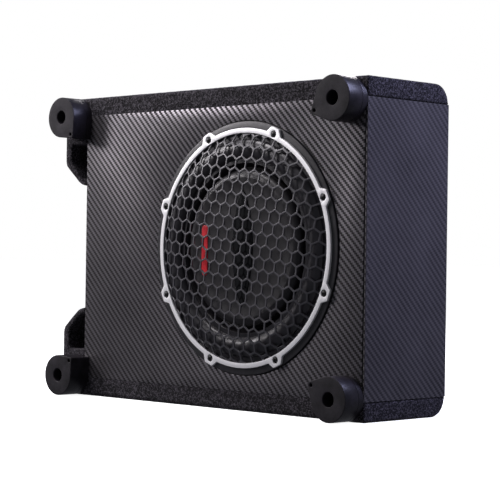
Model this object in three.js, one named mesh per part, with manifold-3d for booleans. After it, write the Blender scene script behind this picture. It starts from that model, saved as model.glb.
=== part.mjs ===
// Powered car subwoofer: a flat wooden box that stands on its lower end panel, with a 10 inch class
// driver facing -Y, carpeted end panels and guard wings, rubber feet and an amplifier on its left side.
// Millimetres, +Z up. The origin is at the middle of the footprint, on the floor.
import * as THREE from "three";
import { mergeVertices } from "three/addons/utils/BufferGeometryUtils.js";
import Module from "manifold-3d";

const wasm = await Module();
wasm.setup();

// ---- Driving dimensions -------------------------------------------------------------------------
const WIDTH = 467; // overall, along X
const HEIGHT = 343; // overall, along Z
const END_PANEL = 20.75; // thickness of each carpeted end panel
const FRONT = -51; // front face of the baffle
const BOX_BACK = 78; // back face of the wrapped box
const PANEL_BACK = 76.5; // back edge of the carpeted panels and wings
const BOX_LEFT = -194; // left face of the wrapped box
const BOARD = 15; // thickness of the box's boards
const VINYL = 1; // thickness of the vinyl skin
const CARPET = 2.5; // thickness of the carpet
const GAP = 0.3; // clearance between pieces that lie on a curve or a slope
const PANEL_ROUND = 20; // radius of an end panel's outer back edge
const MITRE_GROOVE = 1.5; // width of the joint line beside the right front edge

const DRIVER_X = 64; // driver axis
const DISC_RADIUS = 133.4; // mounting gasket
const REBATE_RADIUS = 134.3; // recess in the baffle around the gasket
const CUTOUT_RADIUS = 119; // hole in the baffle
const HOLE_CIRCLE = 126; // radius of the driver's eight screws
const SCREW_COUNT = 8;
const FIRST_SCREW = 24.2; // degrees from +X towards +Z
const RING_INNER = 119.8; // trim ring
const RING_OUTER = 126;
const LUG_TIP = 132.8;

const FLAT_SIDES = 40; // sides of the grille, the flat rings and the holes that they fit
const CONE_SIDES = 32; // sides of the surround, cone and dust cap

const FOOT_RADIUS = 23;
const FOOT_HEIGHT = 27;
const FOOT_HOLE = 7.5; // radius of the deep screw hole
const FOOT_INSET = 23.2; // from the floor, or the top, to a foot's centre
const FOOT_X = { left: -209.5, right: 210 };

const RIGHT = WIDTH / 2;
const LEFT = -WIDTH / 2;
const MID = HEIGHT / 2; // height of the driver axis
const BOX_HALF = MID - END_PANEL; // from the driver axis to an end panel's inner face
const INNER_FRONT = FRONT + VINYL + BOARD; // inside faces of the box's boards
const INNER_BACK = BOX_BACK - VINYL - BOARD;
const INNER_LEFT = BOX_LEFT + VINYL + BOARD;
const INNER_RIGHT = RIGHT - VINYL - BOARD;

// ---- Shapes -------------------------------------------------------------------------------------
function toManifold(geometry) {
  const bare = geometry.clone();
  bare.deleteAttribute("normal");
  bare.deleteAttribute("uv");
  const merged = mergeVertices(bare);
  const corners = [...merged.index.array];
  const kept = [];
  for (let i = 0; i < corners.length; i += 3) {
    const [a, b, c] = corners.slice(i, i + 3);
    if (a !== b && b !== c && c !== a) kept.push(a, b, c);
  }
  return new wasm.Manifold(
    new wasm.Mesh({
      numProp: 3,
      vertProperties: merged.getAttribute("position").array,
      triVerts: new Uint32Array(kept),
    }),
  );
}

function toGeometry(manifold) {
  const mesh = manifold.getMesh();
  const geometry = new THREE.BufferGeometry();
  geometry.setAttribute("position", new THREE.BufferAttribute(mesh.vertProperties, 3));
  geometry.setIndex(new THREE.BufferAttribute(mesh.triVerts, 1));
  return geometry;
}

function cut(body, tools) {
  return toGeometry(tools.reduce((rest, tool) => rest.subtract(toManifold(tool)), toManifold(body)));
}

function join(first, others) {
  return toGeometry(others.reduce((sum, other) => sum.add(toManifold(other)), toManifold(first)));
}

function block([x0, x1], [y0, y1], [z0, z1]) {
  const geometry = new THREE.BoxGeometry(x1 - x0, y1 - y0, z1 - z0);
  return geometry.translate((x0 + x1) / 2, (y0 + y1) / 2, (z0 + z1) / 2);
}

function prism(shape, length) {
  return new THREE.ExtrudeGeometry(shape, { depth: length, bevelEnabled: false, curveSegments: 6 });
}

// An outline in X and Y, between two heights.
function prismZ(shape, [z0, z1]) {
  return prism(shape, z1 - z0).translate(0, 0, z0);
}

// An outline in X and Z, between two depths.
function prismY(shape, [y0, y1]) {
  return prism(shape, y1 - y0).rotateX(Math.PI / 2).translate(0, y1, 0);
}

// An outline in Y and Z, between two values of X.
function prismX(shape, [x0, x1]) {
  const turn = new THREE.Matrix4().makeBasis(
    new THREE.Vector3(0, 1, 0),
    new THREE.Vector3(0, 0, 1),
    new THREE.Vector3(1, 0, 0),
  );
  return prism(shape, x1 - x0).applyMatrix4(turn).translate(x0, 0, 0);
}

function outline(points) {
  return new THREE.Shape(points.map(([a, b]) => new THREE.Vector2(a, b)));
}

// A round bar along Y, and one along X.
function barY(radius, [y0, y1], [x, z], sides = 10) {
  return new THREE.CylinderGeometry(radius, radius, y1 - y0, sides).translate(x, (y0 + y1) / 2, z);
}

function barX(radius, [x0, x1], [y, z], sides = 12) {
  const bar = new THREE.CylinderGeometry(radius, radius, x1 - x0, sides).rotateZ(Math.PI / 2);
  return bar.translate((x0 + x1) / 2, y, z);
}

// A profile of [radius, y] points, turned around the driver's axis.
function turned(profile, sides) {
  const area = profile.reduce((sum, [r, y], i) => {
    const [nextR, nextY] = profile[(i + 1) % profile.length];
    return sum + r * nextY - nextR * y;
  }, 0);
  const ordered = area > 0 ? profile : [...profile].reverse();
  const closed = [...ordered, ordered[0]].map(([r, y]) => new THREE.Vector2(r, y));
  return new THREE.LatheGeometry(closed, sides).translate(DRIVER_X, 0, MID);
}

function ring(inner, outer, [y0, y1], sides) {
  return turned([[inner, y0], [outer, y0], [outer, y1], [inner, y1]], sides);
}

// A curved sheet of even thickness: the [radius, y] points of its front face.
function turnedSheet(front, thickness, sides) {
  const back = front.map(([r, y]) => [r, y + thickness]).reverse();
  return turned([...front, ...back], sides);
}

const radians = THREE.MathUtils.degToRad;

// Points on the driver's hole circle, or on any circle around its axis.
function around(radius, degrees) {
  return [DRIVER_X + radius * Math.cos(radians(degrees)), MID + radius * Math.sin(radians(degrees))];
}

const screwAngles = Array.from({ length: SCREW_COUNT }, (_, i) => FIRST_SCREW + (i * 360) / SCREW_COUNT);

function screwHoles(radius, [y0, y1]) {
  return screwAngles.map((angle) => barY(radius, [y0, y1], around(HOLE_CIRCLE, angle), 8));
}

// ---- Finishes -----------------------------------------------------------------------------------
function finish(color, roughness, metalness = 0) {
  return new THREE.MeshStandardMaterial({ color, roughness, metalness });
}

const carbonVinyl = finish(0x4c4c50, 0.35);
const carpet = finish(0x2e2e33, 1);
const fibreboard = finish(0x9c7a52, 0.9);
const footRubber = finish(0x3d3b40, 0.8);
const darkScrew = finish(0x222226, 0.45, 0.9);
const gasketRubber = finish(0x55545a, 0.6);
const polishedAluminium = finish(0xd9d9dc, 0.25, 1);
const blackSteel = finish(0x2a2a2e, 0.4, 0.5);
const surroundRubber = finish(0x46444a, 0.55);
const conePlastic = finish(0x3c3b40, 0.5);
const kapton = finish(0x8a5a2a, 0.5);
const copper = finish(0xb87333, 0.4, 1);
const spiderCloth = finish(0xb59a56, 0.9);
const plainSteel = finish(0x8c8f94, 0.4, 1);
const ferrite = finish(0x35353a, 0.7);
const blackAluminium = finish(0x1d1d20, 0.5, 0.6);
const circuitBoard = finish(0x1f5a35, 0.6);
const blackPlastic = finish(0x1b1b1e, 0.45);
const connectorPlastic = finish(0x27272b, 0.6);
const fusePlastic = finish(0xd6a019, 0.4);
const lightPlastic = finish(0x9fd0ff, 0.2);

const subwoofer = new THREE.Group();

function add(name, geometry, material) {
  const mesh = new THREE.Mesh(toGeometry(toManifold(geometry)), material);
  mesh.name = name;
  subwoofer.add(mesh);
}

// ---- Amplifier places that the box's left side needs ---------------------------------------------
const AMP_PLATE = { y: [-44, 70], z: [104, 239], thick: 3 };
const AMP_HOLE = { y: [-29.5, 55.5], z: [118, 225] };
const PLATE_OUT = BOX_LEFT - AMP_PLATE.thick;
const AMP_SCREW = { radius: 1.5, pilot: 1.9, end: BOX_LEFT + 14 };
const [ampScrewY, ampScrewZ] = [AMP_PLATE.y, AMP_PLATE.z].map(([low, high]) => [low + 5, high - 5]);

function ampPilots(rows) {
  const holes = rows.flatMap((y) => ampScrewZ.map((z) => [y, z]));
  return holes.map((place) => barX(AMP_SCREW.pilot, [PLATE_OUT - 1, AMP_SCREW.end + 1], place, 8));
}

// ---- Box: mitred boards under one vinyl skin -----------------------------------------------------
const boxZ = [END_PANEL, HEIGHT - END_PANEL];
const boardFront = FRONT + VINYL;
const boardRight = RIGHT - VINYL;
const footPlaces = [
  { name: "lower_left", x: FOOT_X.left, z: FOOT_INSET, point: 41 },
  { name: "lower_right", x: FOOT_X.right, z: FOOT_INSET, point: 151 },
  { name: "upper_left", x: FOOT_X.left, z: HEIGHT - FOOT_INSET, point: -50 },
  { name: "upper_right", x: FOOT_X.right, z: HEIGHT - FOOT_INSET, point: 206 },
];
const FOOT_SCREW = { shank: 1.7, pilot: 2, head: 5.5, end: -22 };

function footPilots(left) {
  return footPlaces
    .filter(({ x }) => x < BOX_LEFT === left)
    .map(({ x, z }) => barY(FOOT_SCREW.pilot, [FRONT - 1, FOOT_SCREW.end + 1], [x, z], 8));
}

const baffleShape = outline([
  [BOX_LEFT + VINYL, boardFront],
  [boardRight - GAP, boardFront],
  [INNER_RIGHT - GAP, INNER_FRONT],
  [BOX_LEFT + VINYL, INNER_FRONT],
]);
const REBATE_FLOOR = FRONT + 2.5;
add(
  "front_baffle",
  cut(prismZ(baffleShape, boxZ), [
    ring(0, CUTOUT_RADIUS, [FRONT - 5, INNER_FRONT + 5], FLAT_SIDES),
    ring(0, REBATE_RADIUS, [FRONT - 5, REBATE_FLOOR], FLAT_SIDES),
    ...screwHoles(2, [FRONT, INNER_FRONT + 5]),
    ...footPilots(false),
    ...ampPilots([ampScrewY[0]]),
  ]),
  fibreboard,
);

const rightShape = outline([
  [boardRight, boardFront + GAP],
  [boardRight, BOX_BACK - VINYL],
  [INNER_RIGHT, BOX_BACK - VINYL],
  [INNER_RIGHT, INNER_FRONT + GAP],
]);
add("right_panel", prismZ(rightShape, boxZ), fibreboard);
const backBoard = block([BOX_LEFT + VINYL, INNER_RIGHT], [INNER_BACK, BOX_BACK - VINYL], boxZ);
add("back_panel", cut(backBoard, ampPilots([ampScrewY[1]])), fibreboard);

const ampHole = block([BOX_LEFT - 5, INNER_LEFT + 5], AMP_HOLE.y, AMP_HOLE.z);
const leftBoard = block([BOX_LEFT + VINYL, INNER_LEFT], [INNER_FRONT, INNER_BACK], boxZ);
add("left_panel", cut(leftBoard, [ampHole]), fibreboard);

function skinShape() {
  const shape = new THREE.Shape();
  const soft = 2;
  shape.moveTo(BOX_LEFT, FRONT);
  shape.lineTo(RIGHT - soft, FRONT);
  shape.absarc(RIGHT - soft, FRONT + soft, soft, -Math.PI / 2, 0);
  shape.lineTo(RIGHT, BOX_BACK - soft);
  shape.absarc(RIGHT - soft, BOX_BACK - soft, soft, 0, Math.PI / 2);
  shape.lineTo(BOX_LEFT, BOX_BACK);
  shape.holes.push(
    outline([
      [BOX_LEFT + VINYL, boardFront],
      [BOX_LEFT + VINYL, BOX_BACK - VINYL],
      [boardRight, BOX_BACK - VINYL],
      [boardRight, boardFront],
    ]),
  );
  return shape;
}

const grooveRight = RIGHT - 2;
const groove = [[grooveRight - MITRE_GROOVE, grooveRight], [FRONT - 1, FRONT + 0.7], [0, HEIGHT]];
add(
  "vinyl_wrap",
  cut(prismZ(skinShape(), boxZ), [
    ring(0, REBATE_RADIUS, [FRONT - 5, FRONT + 5], FLAT_SIDES),
    block(...groove),
    ampHole,
    ...footPilots(false),
    ...ampPilots(ampScrewY),
  ]),
  carbonVinyl,
);

// ---- End panels: a board in a tray of carpet, rounded over at the outer back edge -----------------
// side is -1 for the lower end and +1 for the upper one.
function panelShape(side, inset) {
  const height = (depth) => MID + side * (MID - depth);
  const bend = PANEL_ROUND - inset;
  const steps = 6;
  const points = [[FRONT + inset, height(END_PANEL)], [FRONT + inset, height(inset)]];
  for (let i = 0; i <= steps; i++) {
    const turn = (i / steps) * (Math.PI / 2);
    const y = PANEL_BACK - PANEL_ROUND + bend * Math.sin(turn);
    points.push([y, height(PANEL_ROUND - bend * Math.cos(turn))]);
  }
  points.push([PANEL_BACK - inset, height(END_PANEL)]);
  return outline(points);
}

for (const [name, side] of [["lower", -1], ["upper", 1]]) {
  const board = CARPET + GAP;
  add(`${name}_end_board`, prismX(panelShape(side, board), [LEFT + board, RIGHT - board]), fibreboard);
  const hollow = prismX(panelShape(side, CARPET), [LEFT + CARPET, RIGHT - CARPET]);
  add(`${name}_carpet`, cut(prismX(panelShape(side, 0), [LEFT, RIGHT]), [hollow]), carpet);
}

// ---- Guard wings: a carpeted wall and a sloping web around an open pocket, with a block for the foot
const WING_WALL = 11;
const WING_BLOCK = 118.5; // driver axis to the inner face of the foot's block
function wingShape(side) {
  const points = [
    [LEFT, BOX_HALF],
    [LEFT, 94.7],
    [-206, 72],
    [BOX_LEFT, 70],
    [BOX_LEFT, 77],
    [-203.5, 79],
    [LEFT + WING_WALL, 97],
    [LEFT + WING_WALL, WING_BLOCK],
    [BOX_LEFT, WING_BLOCK],
    [BOX_LEFT, BOX_HALF],
  ];
  return outline(points.map(([x, reach]) => [x, MID + side * reach]));
}

const pilots = footPilots(true);
add("lower_guard", cut(prismY(wingShape(-1), [FRONT, PANEL_BACK]), [pilots[0]]), carpet);
add("upper_guard", cut(prismY(wingShape(1), [FRONT, PANEL_BACK]), [pilots[1]]), carpet);

// ---- Feet: rubber discs with one square corner, a pin hole near it and a deep screw hole ----------
const FOOT_FLOOR = FRONT - 7; // bottom of the deep hole
function footShape(point) {
  const shape = new THREE.Shape();
  const quarter = Math.PI / 4;
  const tip = radians(point);
  const soft = 2.5;
  const reach = (FOOT_RADIUS - soft) * Math.SQRT2;
  shape.absarc(0, 0, FOOT_RADIUS, tip + quarter, tip - quarter + 2 * Math.PI);
  shape.absarc(reach * Math.cos(tip), reach * Math.sin(tip), soft, tip - quarter, tip + quarter);
  return shape;
}

for (const { name, x, z, point } of footPlaces) {
  const pin = [x + 26.5 * Math.cos(radians(point)), z + 26.5 * Math.sin(radians(point))];
  const body = prismY(footShape(point), [FRONT - FOOT_HEIGHT, FRONT]).translate(x, 0, z);
  const holes = [
    barY(FOOT_HOLE, [FRONT - FOOT_HEIGHT - 1, FOOT_FLOOR], [x, z], 14),
    barY(FOOT_SCREW.pilot, [FOOT_FLOOR - 1, FRONT + 1], [x, z], 8),
    barY(1.9, [FRONT - FOOT_HEIGHT - 1, FRONT - FOOT_HEIGHT + 9], pin, 8),
  ];
  add(`${name}_foot`, cut(body, holes), footRubber);
  const shank = barY(FOOT_SCREW.shank, [FOOT_FLOOR - 1, FOOT_SCREW.end], [x, z], 8);
  const head = barY(FOOT_SCREW.head, [FOOT_FLOOR - 3.5, FOOT_FLOOR], [x, z], 10);
  add(`${name}_foot_screw`, join(head, [shank]), darkScrew);
}

// ---- Driver: gasket, trim ring, grille and screws -------------------------------------------------
const RING_FRONT = FRONT - 4.25;
const GASKET = [FRONT - 1.5, FRONT + 0.75];
const FLANGE = [GASKET[1], REBATE_FLOOR];
const GRILLE_RIM = 122.6;

add(
  "mounting_gasket",
  cut(ring(RING_INNER, DISC_RADIUS, GASKET, FLAT_SIDES), screwHoles(2, [FRONT - 5, FRONT + 5])),
  gasketRubber,
);

function trimRingShape() {
  const shape = new THREE.Shape();
  const lugBase = 4.8;
  const lugEnd = 2.4;
  const spacing = 360 / SCREW_COUNT;
  const corner = (radius, degrees) => {
    const turn = radians(degrees);
    return [radius * Math.cos(turn), radius * Math.sin(turn)];
  };
  shape.moveTo(...corner(RING_OUTER, FIRST_SCREW - lugBase));
  for (const angle of screwAngles) {
    shape.lineTo(...corner(LUG_TIP, angle - lugEnd));
    shape.lineTo(...corner(LUG_TIP, angle + lugEnd));
    shape.absarc(0, 0, RING_OUTER, radians(angle + lugBase), radians(angle + spacing - lugBase));
  }
  const inside = new THREE.Path();
  for (let i = 0; i < FLAT_SIDES; i++) {
    const [x, z] = corner(RING_INNER, (-i * 360) / FLAT_SIDES);
    if (i === 0) inside.moveTo(x, z);
    else inside.lineTo(x, z);
  }
  shape.holes.push(inside);
  return shape;
}

add(
  "trim_ring",
  cut(prismY(trimRingShape(), [RING_FRONT, GASKET[0]]).translate(DRIVER_X, 0, MID), [
    ring(RING_INNER - 2, GRILLE_RIM + GAP, [GASKET[0] - 1.4, GASKET[0] + 1], FLAT_SIDES),
    ...screwHoles(2, [FRONT - 9, FRONT]),
    ...screwHoles(3.5, [RING_FRONT - 1, RING_FRONT + 1]),
  ]),
  polishedAluminium,
);

const grilleFront = [
  [GRILLE_RIM, GASKET[0] - 1.3],
  [RING_INNER - 0.5, GASKET[0] - 1.3],
  [116.5, FRONT - 6.5],
  [108, FRONT - 10.4],
  [96, FRONT - 13.2],
  [72, FRONT - 14.8],
  [40, FRONT - 15.8],
  [0, FRONT - 16],
];
add("grille_mesh", turnedSheet(grilleFront, 1.2, FLAT_SIDES), blackSteel);

screwAngles.forEach((angle, i) => {
  const place = around(HOLE_CIRCLE, angle);
  const head = barY(3.1, [RING_FRONT - 0.6, RING_FRONT + 1], place, 10);
  const shank = barY(1.7, [RING_FRONT + 0.5, INNER_FRONT - 3], place, 8);
  add(`trim_screw_${i + 1}`, join(head, [shank]), darkScrew);
});

// ---- Driver: moving parts and motor ---------------------------------------------------------------
const DEEP = 24; // sides of the turned pieces inside the box
const FLANGE_INNER = 111;
const TOP_PLATE = [17, 23];
const MAGNET = [23, 41];
const BACK_PLATE = [41, 48];
const POLE_RADIUS = 23.8;
const FORMER = [24.6, 25.4];
const COIL = [25.7, 27];
const SPIDER_LEDGE = 4;

const basketProfile = [
  [FLANGE_INNER, FLANGE[0]],
  [DISC_RADIUS - 2.4, FLANGE[0]],
  [DISC_RADIUS - 2.4, FLANGE[1]],
  [FLANGE_INNER + 2, FLANGE[1]],
  [110.5, -36],
  [98.5, -17],
  [78, SPIDER_LEDGE + 1.6],
  [67.5, SPIDER_LEDGE + 1.6],
  [63, TOP_PLATE[0]],
  [36, TOP_PLATE[0]],
  [36, TOP_PLATE[0] - 1.6],
  [61.5, TOP_PLATE[0] - 1.6],
  [66, SPIDER_LEDGE],
  [77, SPIDER_LEDGE],
  [96.6, -18],
  [108.8, -37],
];
const windows = [0, 60, 120, 180, 240, 300].map((degrees) => {
  const window = new THREE.BoxGeometry(52, 26, 46).translate(100, -18, 0);
  return window.rotateY(radians(degrees + 30)).translate(DRIVER_X, 0, MID);
});
add(
  "driver_basket",
  cut(turned(basketProfile, DEEP), [...windows, ...screwHoles(2, [FRONT, FRONT + 5])]),
  blackSteel,
);

const LIP = FRONT - 0.9;
const surroundFront = [[RING_INNER - 0.5, LIP], [115, LIP]];
const ROLL = { centre: 104.5, half: 10.5, rise: 7 };
const ROLL_STEPS = 6;
for (let i = 1; i < ROLL_STEPS; i++) {
  const turn = (i / ROLL_STEPS) * Math.PI;
  surroundFront.push([ROLL.centre + ROLL.half * Math.cos(turn), LIP - ROLL.rise * Math.sin(turn)]);
}
surroundFront.push([94, LIP], [89.5, LIP]);
add("surround", turnedSheet(surroundFront, 1.3, CONE_SIDES), surroundRubber);

const CONE_RIM = LIP + 1.6;
const coneFront = [
  [95, CONE_RIM],
  [90, CONE_RIM],
  [87, FRONT + 9],
  [81.5, FRONT + 10.5],
  [52, FRONT + 25],
  [25.8, FRONT + 38],
];
add("cone", turnedSheet(coneFront, 1.5, CONE_SIDES), conePlastic);

const capSkirt = FRONT + 9;
const capProfile = [
  [0, FRONT - 2],
  [60, FRONT - 2],
  [78, FRONT - 2.6],
  [80.5, FRONT - 3.6],
  [83, FRONT - 2.4],
  [82.6, capSkirt],
  [81, capSkirt],
  [80.6, FRONT - 0.8],
  [60, FRONT - 0.4],
  [0, FRONT - 0.4],
];
add("dust_cap", turned(capProfile, CONE_SIDES), conePlastic);

add("voice_coil_former", ring(...FORMER, [FRONT + 36, 30], DEEP), kapton);
add("voice_coil", ring(...COIL, [11, 29], DEEP), copper);

const spiderFront = [[COIL[0], 0], [30, 0]];
const SPIDER_WAVES = 2;
const spiderSteps = SPIDER_WAVES * 4;
for (let i = 1; i < spiderSteps; i++) {
  const share = i / spiderSteps;
  spiderFront.push([30 + 37 * share, 3 * share + 2 * Math.sin(share * SPIDER_WAVES * 2 * Math.PI)]);
}
spiderFront.push([67.5, SPIDER_LEDGE - 1], [75.5, SPIDER_LEDGE - 1]);
add("spider", turnedSheet(spiderFront, 1, DEEP), spiderCloth);

add("top_plate", ring(28.2, 60, TOP_PLATE, DEEP), plainSteel);
add("ring_magnet", ring(34, 62, MAGNET, DEEP), ferrite);
const poleProfile = [
  [8, TOP_PLATE[0]],
  [POLE_RADIUS, TOP_PLATE[0]],
  [POLE_RADIUS, BACK_PLATE[0]],
  [60, BACK_PLATE[0]],
  [60, BACK_PLATE[1]],
  [8, BACK_PLATE[1]],
];
add("back_plate_and_pole", turned(poleProfile, DEEP), plainSteel);

const terminalX = DRIVER_X - 106;
const tabs = [-5, 5].map((dz) => {
  return block([terminalX - 11, terminalX - 5], [-9, -8], [MID + dz - 2, MID + dz + 2]);
});
const terminalBlock = block([terminalX - 6, terminalX + 5], [-16, -2], [MID - 12, MID + 12]);
add("driver_terminals", join(terminalBlock, tabs), connectorPlastic);

// ---- Amplifier: plate, heatsink, housing and board -------------------------------------------------
const CONTROL_Z = 158;
const knobPlaces = [
  ["gain_knob", -16],
  ["lowpass_knob", 4],
  ["bass_boost_knob", 24],
];
const BOARD_X = [-186, -184.5];
const PANEL_HOLE = 0.4; // clearance of the plate's holes around what comes through
const SWITCH = { y: [38, 43], travel: 4, half: 2 };
const RCA = { y: [-26.5, -2.5], z: [122, 138] };
const SOCKET = { y: [1.5, 19.5], z: [122, 138] };
const TERMINALS = { y: [24.5, 52.5], z: [121, 148] };
const LED = [-34, CONTROL_Z];
const HEATSINK = { y: [-24, 58], z: [172, 237], base: 4, tip: -216 };

const grown = ([low, high]) => [low - PANEL_HOLE, high + PANEL_HOLE];
const throughPlate = [PLATE_OUT - 1, BOX_LEFT + 1];
const plate = block([PLATE_OUT, BOX_LEFT], AMP_PLATE.y, AMP_PLATE.z);
const plateHoles = [
  ...knobPlaces.map(([, y]) => barX(3.1, throughPlate, [y, CONTROL_Z])),
  block(throughPlate, grown([SWITCH.y[0], SWITCH.y[1] + SWITCH.travel]), [CONTROL_Z - 3, CONTROL_Z + 3]),
  ...[RCA, SOCKET, TERMINALS].map(({ y, z }) => block(throughPlate, grown(y), grown(z))),
  barX(1.9, throughPlate, LED),
  ...ampPilots(ampScrewY),
];
add("amp_plate", cut(plate, plateHoles), blackAluminium);

const fins = [];
const FIN = { thick: 2, count: 12 };
const finPitch = (HEATSINK.y[1] - HEATSINK.y[0] - FIN.thick) / (FIN.count - 1);
for (let i = 0; i < FIN.count; i++) {
  const y = HEATSINK.y[0] + i * finPitch;
  fins.push(block([HEATSINK.tip, PLATE_OUT - 1], [y, y + FIN.thick], HEATSINK.z));
}
const sinkBase = block([PLATE_OUT - HEATSINK.base, PLATE_OUT], HEATSINK.y, HEATSINK.z);
add("heatsink", join(sinkBase, fins), blackAluminium);

let screwNumber = 0;
for (const y of ampScrewY) {
  for (const z of ampScrewZ) {
    screwNumber += 1;
    const head = barX(3.4, [PLATE_OUT - 1.8, PLATE_OUT], [y, z], 10);
    const shank = barX(AMP_SCREW.radius, [PLATE_OUT - 1, AMP_SCREW.end], [y, z], 8);
    add(`amp_screw_${screwNumber}`, join(head, [shank]), darkScrew);
  }
}

const HOUSING_WALL = 1.2;
const HOUSING_BACK = -150;
const housingY = [AMP_HOLE.y[0] + 0.5, AMP_HOLE.y[1] - 0.5];
const housingZ = [AMP_HOLE.z[0] + 0.5, AMP_HOLE.z[1] - 0.5];
const shrink = ([low, high]) => [low + HOUSING_WALL, high - HOUSING_WALL];
const housingInside = block([BOX_LEFT - 1, HOUSING_BACK - HOUSING_WALL], shrink(housingY), shrink(housingZ));
add("amp_housing", cut(block([BOX_LEFT, HOUSING_BACK], housingY, housingZ), [housingInside]), plainSteel);

const boardY = [housingY[0] + 3, housingY[1] - 3];
const boardZ = [housingZ[0] + 3, 218];
const spacers = [boardY[0] + 4, boardY[1] - 4].flatMap((y) =>
  [CONTROL_Z + 10, boardZ[1] - 4].map((z) => barX(2.5, [BOX_LEFT, BOARD_X[0] + 0.5], [y, z], 8)),
);
const controlBodies = knobPlaces.map(([, y]) =>
  block([-192, BOARD_X[0] + 0.5], [y - 5, y + 5], [CONTROL_Z - 5, CONTROL_Z + 5]),
);
const switchBody = block([-192, BOARD_X[0] + 0.5], [37, 48], [CONTROL_Z - 4, CONTROL_Z + 4]);
add(
  "amp_board",
  join(block(BOARD_X, boardY, boardZ), [...spacers, ...controlBodies, switchBody]),
  circuitBoard,
);

const TOROID = { inner: 8, outer: 19, x: [BOARD_X[1], BOARD_X[1] + 18], place: [28, 194] };
add(
  "power_transformer",
  cut(barX(TOROID.outer, TOROID.x, TOROID.place, 20), [
    barX(TOROID.inner, [TOROID.x[0] - 1, TOROID.x[1] + 1], TOROID.place, 12),
  ]),
  copper,
);
add("filter_capacitor", barX(9, [BOARD_X[1], BOARD_X[1] + 30], [-12, 196], 14), blackPlastic);

// ---- Amplifier: controls and sockets ---------------------------------------------------------------
const KNOB = { radius: 6.5, shaft: 2.5, x: [PLATE_OUT - 11, PLATE_OUT - 1] };
for (const [name, y] of knobPlaces) {
  const head = barX(KNOB.radius, KNOB.x, [y, CONTROL_Z], 16);
  const shaft = barX(KNOB.shaft, [KNOB.x[1] - 1, -192.4], [y, CONTROL_Z], 12);
  const pointer = block([KNOB.x[0] - 1, KNOB.x[0] + 1], [y - 0.7, y + 0.7], [CONTROL_Z + 1, CONTROL_Z + 7]);
  add(name, cut(join(head, [shaft]), [pointer]), blackPlastic);
}

const sliderCap = [CONTROL_Z - SWITCH.half, CONTROL_Z + SWITCH.half];
add("phase_switch_slider", block([PLATE_OUT - 3, -192.4], SWITCH.y, sliderCap), blackPlastic);

const rcaAxis = (RCA.z[0] + RCA.z[1]) / 2;
const rcaJacks = [RCA.y[0] + 6, RCA.y[1] - 6];
const rcaBody = join(
  block([PLATE_OUT - 2, BOARD_X[0] - GAP], RCA.y, RCA.z),
  rcaJacks.map((y) => barX(4.2, [PLATE_OUT - 11, PLATE_OUT - 1], [y, rcaAxis], 14)),
);
const rcaHoles = rcaJacks.map((y) => barX(1.7, [PLATE_OUT - 12, PLATE_OUT - 2], [y, rcaAxis], 8));
add("rca_jacks", cut(rcaBody, rcaHoles), connectorPlastic);

const socketBody = block([PLATE_OUT - 5, BOARD_X[0] - GAP], SOCKET.y, SOCKET.z);
const socketRecess = block(
  [PLATE_OUT - 6, PLATE_OUT + 5],
  [SOCKET.y[0] + 2, SOCKET.y[1] - 2],
  [SOCKET.z[0] + 2, SOCKET.z[1] - 2],
);
add("highlevel_socket", cut(socketBody, [socketRecess]), connectorPlastic);

const FUSE = { y: [29.5, 47.5], z: [139, 144], foot: PLATE_OUT - 8, head: PLATE_OUT - 18 };
const wireEntries = [0, 1, 2].map((i) => {
  const y = TERMINALS.y[0] + 2.5 + i * 8;
  return block([PLATE_OUT - 15, PLATE_OUT + 2], [y, y + 6.6], [TERMINALS.z[0] + 2, TERMINALS.z[0] + 8.6]);
});
const fuseSlot = block([PLATE_OUT - 15, FUSE.foot], FUSE.y.map((y, i) => y + (i ? GAP : -GAP)), [
  FUSE.z[0] - GAP,
  FUSE.z[1] + GAP,
]);
const terminalBody = block([PLATE_OUT - 12, BOARD_X[0] - GAP], TERMINALS.y, TERMINALS.z);
add("power_terminal_block", cut(terminalBody, [...wireEntries, fuseSlot]), connectorPlastic);
add("blade_fuse", block([FUSE.head, FUSE.foot], FUSE.y, FUSE.z), fusePlastic);
add("power_light", barX(1.5, [PLATE_OUT - 1.5, BOX_LEFT], LED, 10), lightPlastic);

export default subwoofer;
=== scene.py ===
# Powered car subwoofer: the looks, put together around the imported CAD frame.
import math

import bmesh
import bpy
import numpy as np
from mathutils import Matrix, Vector


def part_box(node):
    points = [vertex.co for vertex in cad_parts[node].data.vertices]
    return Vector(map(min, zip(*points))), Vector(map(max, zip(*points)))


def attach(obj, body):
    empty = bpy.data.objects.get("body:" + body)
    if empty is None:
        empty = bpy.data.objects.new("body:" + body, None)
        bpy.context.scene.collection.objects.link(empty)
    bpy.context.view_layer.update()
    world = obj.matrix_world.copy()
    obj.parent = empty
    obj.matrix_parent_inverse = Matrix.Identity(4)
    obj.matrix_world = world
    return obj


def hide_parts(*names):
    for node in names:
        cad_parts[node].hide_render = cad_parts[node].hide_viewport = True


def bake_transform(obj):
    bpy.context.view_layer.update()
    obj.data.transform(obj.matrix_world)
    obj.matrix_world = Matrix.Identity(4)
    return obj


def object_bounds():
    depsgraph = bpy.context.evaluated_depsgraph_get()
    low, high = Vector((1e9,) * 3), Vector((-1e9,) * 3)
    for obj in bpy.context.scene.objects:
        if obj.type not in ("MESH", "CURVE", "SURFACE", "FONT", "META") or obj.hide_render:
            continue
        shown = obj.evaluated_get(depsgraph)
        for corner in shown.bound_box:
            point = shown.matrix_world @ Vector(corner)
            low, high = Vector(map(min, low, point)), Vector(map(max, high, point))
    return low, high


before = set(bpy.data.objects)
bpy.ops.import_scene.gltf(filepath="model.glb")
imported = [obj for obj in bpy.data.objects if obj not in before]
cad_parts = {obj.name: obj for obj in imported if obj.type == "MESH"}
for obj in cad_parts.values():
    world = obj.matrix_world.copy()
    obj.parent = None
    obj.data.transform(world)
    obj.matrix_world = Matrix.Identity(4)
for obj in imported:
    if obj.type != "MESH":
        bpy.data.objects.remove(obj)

CAD_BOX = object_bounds()
MM = 0.001

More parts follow.
